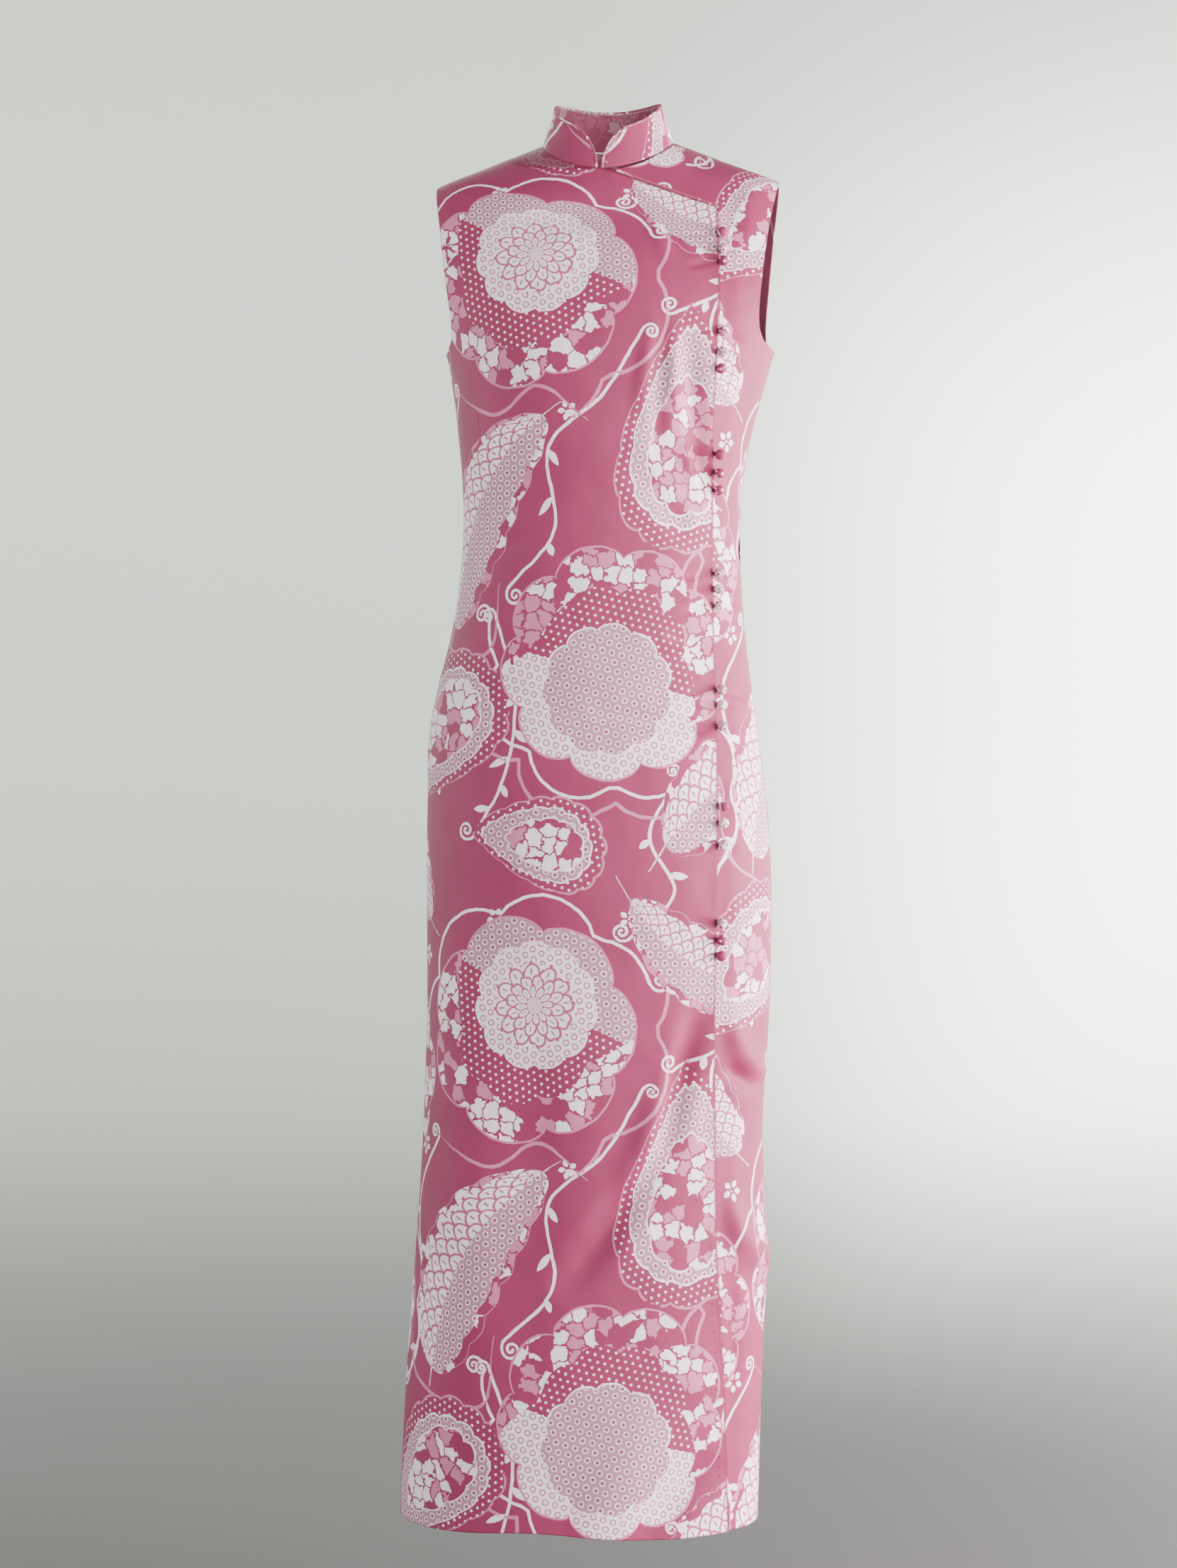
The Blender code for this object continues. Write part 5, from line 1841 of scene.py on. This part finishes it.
    def motif_colour(self, g: Graph, place: Value, space: dict[str, Value], kind: Value) -> Value:
        """The colour inside a motif.

        A rosette has a netted core, ringed mauve above it, dots below and patches along its lower
        rim. A drop has patches in its core, then ringed mauve and a dotted rim. A leaf is netted
        on one side of its midrib and ringed on the other. A draw above a half swaps netted and
        ringed. Lines part the fills.

        Args:
            g: The print group's graph.
            place: The flat place.
            space: Where it lies in its motif.
            kind: The motif's radius, outline and draw.

        Returns:
            The colour.
        """
        ring, core, up = space["Ring"], space["Core"], space["Up"]
        radius, outline, draw = g.split(kind)
        is_drop, is_leaf = Outline.DROP.mask(outline), Outline.LEAF.mask(outline)
        inputs = {"Local": space["Local"], "Net": space["Net"], "Turn": space["Net Turn"]}
        netted, ringed, patched, dotted = g.place(self.fills, Place=place, **inputs).values()
        swap, in_core, in_belt = draw > 0.5, core < 1.0, ring > self.belt
        first, second = g.mix(swap, netted, ringed), g.mix(swap, ringed, netted)
        wide = ring > g.step(up, -0.2, 0.75) * 0.5 + 0.66
        rosette = g.mix(wide, g.mix(up > 0.32 - draw * 0.3, dotted, second), patched)
        rosette = g.mix(in_core, rosette, first)
        drop = g.mix(in_core, g.mix(in_belt, ringed, dotted), patched)
        leaf = g.mix(in_belt, g.mix(space["Across"] > 0.0, first, second), patched)
        colour = g.mix(is_leaf, g.mix(is_drop, rosette, drop), leaf)
        core_rule = abs(core - 1.0) * self.core_size
        rule = core_rule.least(g.blend(is_drop, 1.0, abs(ring - self.belt)))
        return g.mix(g.step(rule * radius, 0.0007, 0.0011, 1.0, 0.0), colour, self.dyes.white)

    def print_colour(self) -> bpy.types.NodeTree:
        """The whole print: the ground, the strokes, and the motifs over both."""
        names = ["Place", "Motif", "Kind", *Print.stroke_sockets()]
        g, spot, motif, kind, *ends = shader_group("cotton_print", **dict.fromkeys(names, "Vector"))
        dyes = self.dyes
        place = g.place(self.hand, Place=spot, Amount=0.0011, Length=0.017)["Place"]
        space = g.place(self.space, Place=place, Centre=motif, Kind=kind)
        colour = dyes.ground
        for start, end in zip(ends[::2], ends[1::2]):
            stroke = g.place(self.stroke, Place=place, From=start, To=end)
            colour = g.mix(stroke["Pale"], colour, dyes.pale)
            colour = g.mix(stroke["White"], colour, dyes.white)
        ring = space["Ring"]
        colour = g.mix(ring < 1.0, colour, self.motif_colour(g, place, space, kind))
        rim = g.step(abs(ring - 1.0) * g.split(kind)[0], 0.0009, 0.0013, 1.0, 0.0)
        colour = g.mix(rim, colour, dyes.pale)
        light = g.step(g.split(colour)[1], dyes.ground[1], dyes.white[1])
        return g.close(Color=colour, Light=light)


@dataclass(frozen=True)
class Cotton:
    """A finish of the printed cotton: how dull, soft and faded it is, how deep its painted shade is, and
    how strong its weave.
    """

    name: str
    roughness: float = 0.5
    sheen: float = 0.01
    sheen_roughness: float = 0.4
    specular: float = 0.16
    print_roughness: float = 0.06
    fade: float = 0.0
    # depth darkens the whole colour: painted shade where it is below 1
    depth: float = 1.0
    tones: tuple[float, float] = (0.95, 1.04)
    weave: float = 0.00006
    pitch: float = 0.00055
    # painted shade along seams and beside the lapped edge: how strong it is, and the distances over which
    # it fades
    seam_shade: float = 0.85
    seam_width: tuple[float, float] = (0.0007, 0.0024)

    def build(self, shader: PrintShader, weave: bpy.types.NodeTree) -> bpy.types.Material:
        """Makes the material.

        The print's colour is mixed with the cloth's plain middle colour by the fade. Slow noise
        darkens and lightens it by a few hundredths, and the depth darkens all of it as painted shade.
        Near seams and beside the lapped edge a deep crimson is painted in as shade. The
        weave and small crumples are a bump.

        Args:
            shader: The print's node groups.
            weave: The group that gives the height of the threads.

        Returns:
            The material.
        """
        material, g = new_material(self.name)
        flat = g.node("UVMap", 0, {"uv_map": "cloth_cut"})
        inputs = {"Motif": g.attribute("motif_place"), "Kind": g.attribute("motif_kind")}
        inputs |= {name: g.attribute(f"stroke_{name.lower()}") for name in Print.stroke_sockets()}
        printed = g.place(shader.whole, Place=flat, **inputs)
        colour = g.mix(self.fade, printed["Color"], shader.dyes.faded)
        low, high = self.tones
        # the depth scales the tone: painted shade on the reverse side
        tone = g.step(g.noise(flat, 14.0, 3.0), 0.3, 0.7, self.depth * low, self.depth * high)
        # painted shade: deep crimson mixed in near seams and beside the lapped edge
        painted_crease_shade = g.step(g.attribute("seam_gap", "Fac"), *self.seam_width, self.seam_shade, 0.0)
        height = g.place(weave, Place=flat, Pitch=self.pitch)["Height"]
        rough = g.step(printed["Light"], 0.0, 1.0, self.roughness, self.roughness + self.print_roughness)
        looks = {
            "Base Color": g.mix(painted_crease_shade, colour * tone, shader.dyes.painted_crease_shade),
            "Roughness": rough,
            "Normal": g.node("Bump", Strength=0.5, Distance=self.weave, Height=height),
            "Sheen Weight": self.sheen,
            "Sheen Roughness": self.sheen_roughness,
            "Specular IOR Level": self.specular,
        }
        g.coat(looks)
        return material


def cotton_weave() -> bpy.types.NodeTree:
    """The height of plain woven threads with small crumples.

    Warp and weft are sine waves across and along, each lifted where the other dips.
    """
    g, place, pitch = shader_group("cotton_weave", Place="Vector", Pitch="Float")
    x, y, _ = g.split(place * (2 * math.pi / pitch))
    warp, weft = x.sine(), y.sine()
    threads = warp * weft * 0.5 + (abs(warp) + abs(weft)) * 0.5
    return g.close(Height=threads + g.noise(place, 55.0, 4.0) * 9.0)


@dataclass
class Stitches:
    """Pick stitches along the lower part of the overlap's edge."""

    top: float = -0.835
    inset: float = 0.0050
    pitch: float = 0.0095
    length: float = 0.0024
    radius: float = 0.00028
    above_hem: float = 0.012
    points: int = 7
    sides: int = 6
    level_row: int = -40
    rise: float = 1.6
    sink: float = 0.7
    print_at: tuple[float, float] = (0.0, -0.7)

    def shape(self, front: FrontPanel) -> Piece:
        """Small tubes that rise from the cloth and sink back, one at each stitch.

        Args:
            front: The front panel, already shaped.

        Returns:
            All the stitches.
        """
        z = front.grid[:, -1, 1]
        across = front.grid[self.level_row, :, 0]
        column = int(np.argmin(np.abs(across - (across[-1] - self.inset))))
        line, beside = front.outer[:, column], front.outer[:, column - 1]
        normal = units(np.cross(np.gradient(line, axis=0), beside - line))
        normal *= np.sign(np.sum(normal * (0.0, -1.0, 0.0), axis=1, keepdims=True))
        order = np.argsort(z)
        share = np.linspace(0, 1, self.points)
        rise = self.radius * (self.rise * np.sin(math.pi * share) - self.sink)
        stitches = []
        for k in range(int((self.top - FORM.hem - self.above_hem) / self.pitch)):
            at = self.top - k * self.pitch - self.length * share
            path, out = (
                np.stack([np.interp(at, z[order], rows[order, i]) for i in range(3)], axis=1)
                for rows in (line, normal)
            )
            path, up = path + out * rise[:, None], tuple(out[self.points // 2])
            stitches.append(tube_piece(path, self.radius, self.sides, self.print_at, up))
        return joined(stitches)


class Lamp(NamedTuple):
    """A square light: its place and target, its size in metres, its power in watts and its tint."""

    name: str
    place: Row
    target: Row
    size: float
    power: float
    tint: Row


@dataclass
class Studio:
    """The camera at the photograph's angle, a pale seamless backdrop with painted light and shade, and soft
    lights.
    """

    eye: tuple[float, float, float] = (0.2328, -2.889, -0.649)
    heading: float = math.radians(5.0)
    lens: float = 65.55
    sensor: float = 36.0
    floor: float = -1.52
    bowl_radius: float = 7.5
    bowl_corner: float = 3.0
    bowl_height: float = 7.0
    bowl_sides: int = 96
    bowl_steps: int = 24
    # painted shade and light on the backdrop: a darker floor, a glow, and a painted pool of light towards
    # +X
    painted_floor_shade: Row = (0.112, 0.118, 0.113, 1.0)
    wall_tone: Row = (0.64, 0.67, 0.64, 1.0)
    lit_tone: Row = (0.97, 0.96, 0.94, 1.0)
    wall_glow: Row = (0.27, 0.31, 0.27, 1.0)
    lit_glow: Row = (4.6, 4.6, 4.3, 1.0)
    sky_tint: Row = (0.95, 0.97, 0.97, 1.0)
    sky_strength: float = 0.36
    lamps: tuple[Lamp, ...] = (
        Lamp("key", (2.6, -0.95, -0.75), (0.0, 0.0, -0.7), 1.0, 132.0, (1.0, 0.93, 0.95)),
        Lamp("side", (2.4, 0.5, -0.65), (0.0, 0.0, -0.65), 1.0, 175.0, (1.0, 0.80, 0.90)),
        Lamp("front", (-0.6, -4.2, -0.8), (0.0, 0.0, -0.8), 2.6, 22.0, (0.98, 1.0, 0.99)),
        Lamp("left", (-2.6, 0.3, -0.4), (0.0, 0.0, -0.6), 1.8, 30.0, (0.98, 1.0, 1.0)),
        Lamp("back", (-1.5, 3.6, 1.6), (0.0, 0.0, -0.7), 2.6, 60.0, (1.0, 1.0, 1.0)),
    )

    def camera(self) -> None:
        """Sets the camera level, at the height of the dress's middle."""
        data = bpy.data.cameras.new("photo_camera")
        data.lens = self.lens
        data.sensor_width = self.sensor
        obj = linked("photo_camera", data)
        obj.location = self.eye
        obj.rotation_euler = (math.pi / 2, 0.0, self.heading)
        bpy.context.scene.camera = obj

    def paper(self) -> bpy.types.Material:
        """Pale paper with painted light: it glows a little though it is no lamp, with painted shade that
        darkens the floor and a painted pool of light on the wall towards +X.

        The way from the floor's middle is the distance along the floor plus the height above it.
        Towards +X is x over the distance from the middle.
        """
        material, g = new_material("pale_paper")
        x, y, z = g.split(g.node("NewGeometry", "Position"))
        level, height = g.merged(x, y).length(), z - self.floor
        way = level + height
        side = g.step(x / level, -0.12, 0.22)
        # painted light: a pool of light on the wall towards +X, weaker higher up
        lit = side * (g.step(way, 0.8, 7.5) * g.step(height, 1.6, 4.2, 1.0, 0.12))
        # painted shade: the floor darker than the wall; the glow is painted light, weaker higher up
        colour = g.mix(g.step(way, 0.0, 8.0), self.painted_floor_shade, self.wall_tone)
        glow = g.mix(g.step(way, 0.5, 8.0), (0.0, 0.0, 0.0, 1.0), self.wall_glow)
        looks = {
            "Base Color": g.mix(lit, colour, self.lit_tone),
            "Emission Color": g.mix(lit, glow, self.lit_glow) * g.step(height, 1.9, 4.2, 1.0, 0.40),
            "Emission Strength": 1.0,
            "Roughness": 0.95,
            "Specular IOR Level": 0.1,
        }
        g.coat(looks)
        return material

    def backdrop(self) -> None:
        """A round floor that curves up into a wall: a flat disc, a quarter circle and a rise."""
        turn = np.linspace(0, math.pi / 2, self.bowl_steps)
        flat, corner = self.bowl_radius - self.bowl_corner, self.bowl_corner
        radius = np.concatenate([[flat / 2], flat + corner * np.sin(turn), [self.bowl_radius]])
        height = np.concatenate([[0.0], corner * (1 - np.cos(turn)), [self.bowl_height]])
        angle = np.linspace(0, 2 * math.pi, self.bowl_sides, endpoint=False)
        x, y = radius[:, None] * np.cos(angle), radius[:, None] * np.sin(angle)
        z = np.broadcast_to(self.floor + height[:, None], x.shape)
        points = np.stack([x, y, z], axis=-1)
        index = np.arange(len(radius) * self.bowl_sides).reshape(len(radius), -1)
        after = np.roll(index, -1, axis=1)
        faces = quads(index[:-1], after[:-1], after[1:], index[1:])[:, ::-1]
        mesh = bpy.data.meshes.new("backdrop")
        mesh.from_pydata(points.reshape(-1, 3).tolist(), [], [*faces.tolist(), index[0].tolist()])
        mesh.shade_smooth()
        mesh.materials.append(self.paper())
        linked("backdrop", mesh)

    def lights(self) -> None:
        """Square soft lights that face their targets, and pale sky light."""
        for lamp in self.lamps:
            data = bpy.data.lights.new(lamp.name, "AREA")
            data.shape = "SQUARE"
            data.size, data.energy, data.color = lamp.size, lamp.power, lamp.tint
            obj = linked(lamp.name, data)
            obj.location = lamp.place
            way = Vector(lamp.target) - Vector(lamp.place)
            obj.rotation_euler = way.to_track_quat("-Z", "Y").to_euler()
        world = bpy.data.worlds.new("sky")
        world.use_nodes = True
        background = world.node_tree.nodes["Background"]
        background.inputs["Color"].default_value = self.sky_tint
        background.inputs["Strength"].default_value = self.sky_strength
        bpy.context.scene.world = world

    def build(self) -> None:
        """Sets the whole studio."""
        self.camera()
        self.backdrop()
        self.lights()


def button_pulls(reach: float, seed: int) -> tuple[Row, ...]:
    """Small folds that fan out from each group of buttons, to one side of the overlap's edge.

    Args:
        reach: How far the folds run from the edge, above nought towards +X.
        seed: Picks their tilts.

    Returns:
        Rows of folds, one trough for each button.
    """
    rng = np.random.default_rng(seed)
    rows = []
    for group in Fastenings.groups:
        for height, depth in zip(group, (-0.0024, -0.0020, -0.0026)):
            edge = float(FORM.edge.at("across", height))
            far, tilt = reach * rng.uniform(0.7, 1.2), rng.uniform(-0.010, 0.004)
            rows.append((edge + 0.1 * far, height, edge + far, height + tilt, 0.0042, depth))
    return tuple(rows)


FRONT_FOLDS = Folds(
    (
        (0.045, -0.060, 0.068, -0.150, 0.010, 0.0024),
        (0.085, -0.200, 0.106, -0.375, 0.012, -0.0080),
        (0.052, -0.190, 0.040, -0.290, 0.009, 0.0042),
        (0.072, -0.195, 0.071, -0.280, 0.008, 0.0036),
        (0.064, -0.215, 0.058, -0.330, 0.008, -0.0040),
        (0.094, -0.318, 0.112, -0.356, 0.007, -0.0042),
        (0.084, -0.305, 0.097, -0.368, 0.007, 0.0030),
        (-0.010, -0.575, 0.110, -0.597, 0.011, -0.0062),
        (0.060, -0.500, 0.105, -0.520, 0.009, -0.0044),
        (0.098, -0.860, 0.060, -1.020, 0.015, -0.0115),
        (0.062, -1.010, -0.045, -1.150, 0.021, -0.0100),
        (0.080, -0.925, 0.020, -1.060, 0.018, 0.0070),
        (0.115, -1.310, 0.035, -1.390, 0.022, -0.0065),
        (0.060, -1.270, -0.020, -1.390, 0.030, 0.0050),
        (-0.150, -0.760, -0.130, -1.250, 0.035, 0.0040),
        (-0.060, -0.800, -0.075, -1.300, 0.040, -0.0035),
        (-0.120, -0.430, -0.060, -0.400, 0.014, -0.0030),
        (0.030, -0.330, 0.100, -0.420, 0.014, -0.0030),
    )
    + button_pulls(-0.030, 41)
)
SIDE_FOLDS = Folds(
    (
        (0.118, -0.880, 0.160, -0.950, 0.014, 0.0055),
        (0.118, -0.925, 0.155, -0.955, 0.010, -0.0060),
        (0.112, -1.045, 0.165, -1.150, 0.016, 0.0062),
        (0.122, -1.120, 0.122, -1.260, 0.012, -0.0055),
        (0.120, -0.390, 0.136, -0.430, 0.010, -0.0025),
        (0.130, -0.620, 0.158, -0.700, 0.012, -0.0025),
    )
    + button_pulls(0.024, 43)
)
BACK_FOLDS = Folds(
    (
        (-0.110, -0.385, -0.030, -0.425, 0.014, -0.0030),
        (0.105, -0.375, 0.020, -0.440, 0.015, -0.0035),
        (-0.090, -0.450, 0.015, -0.470, 0.013, -0.0025),
        (0.120, -0.250, 0.060, -0.330, 0.016, -0.0025),
        (-0.125, -0.240, -0.075, -0.320, 0.015, -0.0025),
        (-0.100, -0.780, -0.125, -1.200, 0.030, 0.0035),
        (0.040, -0.820, 0.065, -1.385, 0.034, 0.0040),
        (-0.020, -0.800, -0.045, -1.330, 0.026, -0.0040),
        (0.110, -0.900, 0.120, -1.350, 0.024, -0.0035),
    )
)


class Dress:
    """Builds the dress's pieces in order, sets them on the frame and prints their cloth."""

    def __init__(self) -> None:
        """Makes the finishes and the print."""
        self.print = Print()
        shader, weave = PrintShader(Dyes()), cotton_weave()
        # depth 0.6 paints shade on the reverse side, which lies inside the dress
        wrong = Cotton("printed_cotton_reverse", roughness=0.8, sheen=0.05, fade=0.72, depth=0.6)
        self.right = Cotton("printed_cotton_face").build(shader, weave)
        self.wrong = wrong.build(shader, weave)
        self.trim = Cotton("piping_cloth", roughness=0.6, fade=0.25).build(shader, weave)

    def add(
        self, piece: Piece, name: str, slot: str, materials: Materials, nodes: Sequence[str]
    ) -> bpy.types.Object:
        """Builds a piece, prints it and sets it in place of its solids.

        Args:
            piece: The shape.
            name: The object's name.
            slot: The record's material slot; not used.
            materials: Its materials.
            nodes: The solids that it stands for.

        Returns:
            The object.
        """
        obj = piece.build(name, materials)
        self.print.dress(obj, piece)
        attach(obj, "root")
        if nodes:
            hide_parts(*nodes)
        LOG.info("%s: %d faces", name, len(piece.faces))
        return obj

    def panel(self, panel: Panel) -> None:
        """Adds a cloth panel and works out the size of its cut."""
        both = (self.right, self.wrong)
        obj = self.add(panel.shape(), f"{panel.name}_cloth", "printed_cotton", both, [panel.name])
        width, length, area = panel.cut_size()
        area = min(area, width * length)

    def build(self) -> None:
        """Adds the panels, the collar, the pipings, the fastenings and the stitches."""
        seat = SolidSeat("side_panel")
        front = FrontPanel("front_panel", Facing.FRONT, FRONT_FOLDS, 11, (0.0, 0.0))
        side = SidePanel("side_panel", Facing.FRONT, SIDE_FOLDS, 17, (0.17, 0.23), over=FRONT_FOLDS)
        back = BackPanel("back_panel", Facing.BACK, BACK_FOLDS, 23, (0.02, 0.11))
        for panel in (front, side, back):
            self.panel(panel)
        collar, both = Collar(), (self.right, self.wrong)
        obj = self.add(collar.shape(), "collar_cloth", "printed_cotton", both, ["collar"])
        self.add(collar.piping(), "collar_trim", "piping_cotton", (self.trim,), ["collar_piping"])
        slant = SlantPiping().shape(seat)
        self.add(slant, "overlap_trim", "piping_cotton", (self.trim,), ["front_edge_piping"])
        balls, loops = Fastenings().shape(seat)
        numbers = range(1, sum(map(len, Fastenings.groups)) + 1)
        buttons, rings = ([f"{kind}_{n:02d}" for n in numbers] for kind in ("button", "loop"))
        self.add(balls, "ball_buttons", "printed_cotton", (self.right,), buttons)
        self.add(loops, "button_loops", "piping_cotton", (self.trim,), rings)
        self.add(Stitches().shape(front), "pick_stitches", "piping_cotton", (self.trim,), [])


def main() -> None:
    """Builds the studio and the dress."""
    logging.basicConfig(level=logging.INFO, format="%(message)s")
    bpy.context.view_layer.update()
    Studio().build()
    Dress().build()


if __name__ == "__main__":
    main()
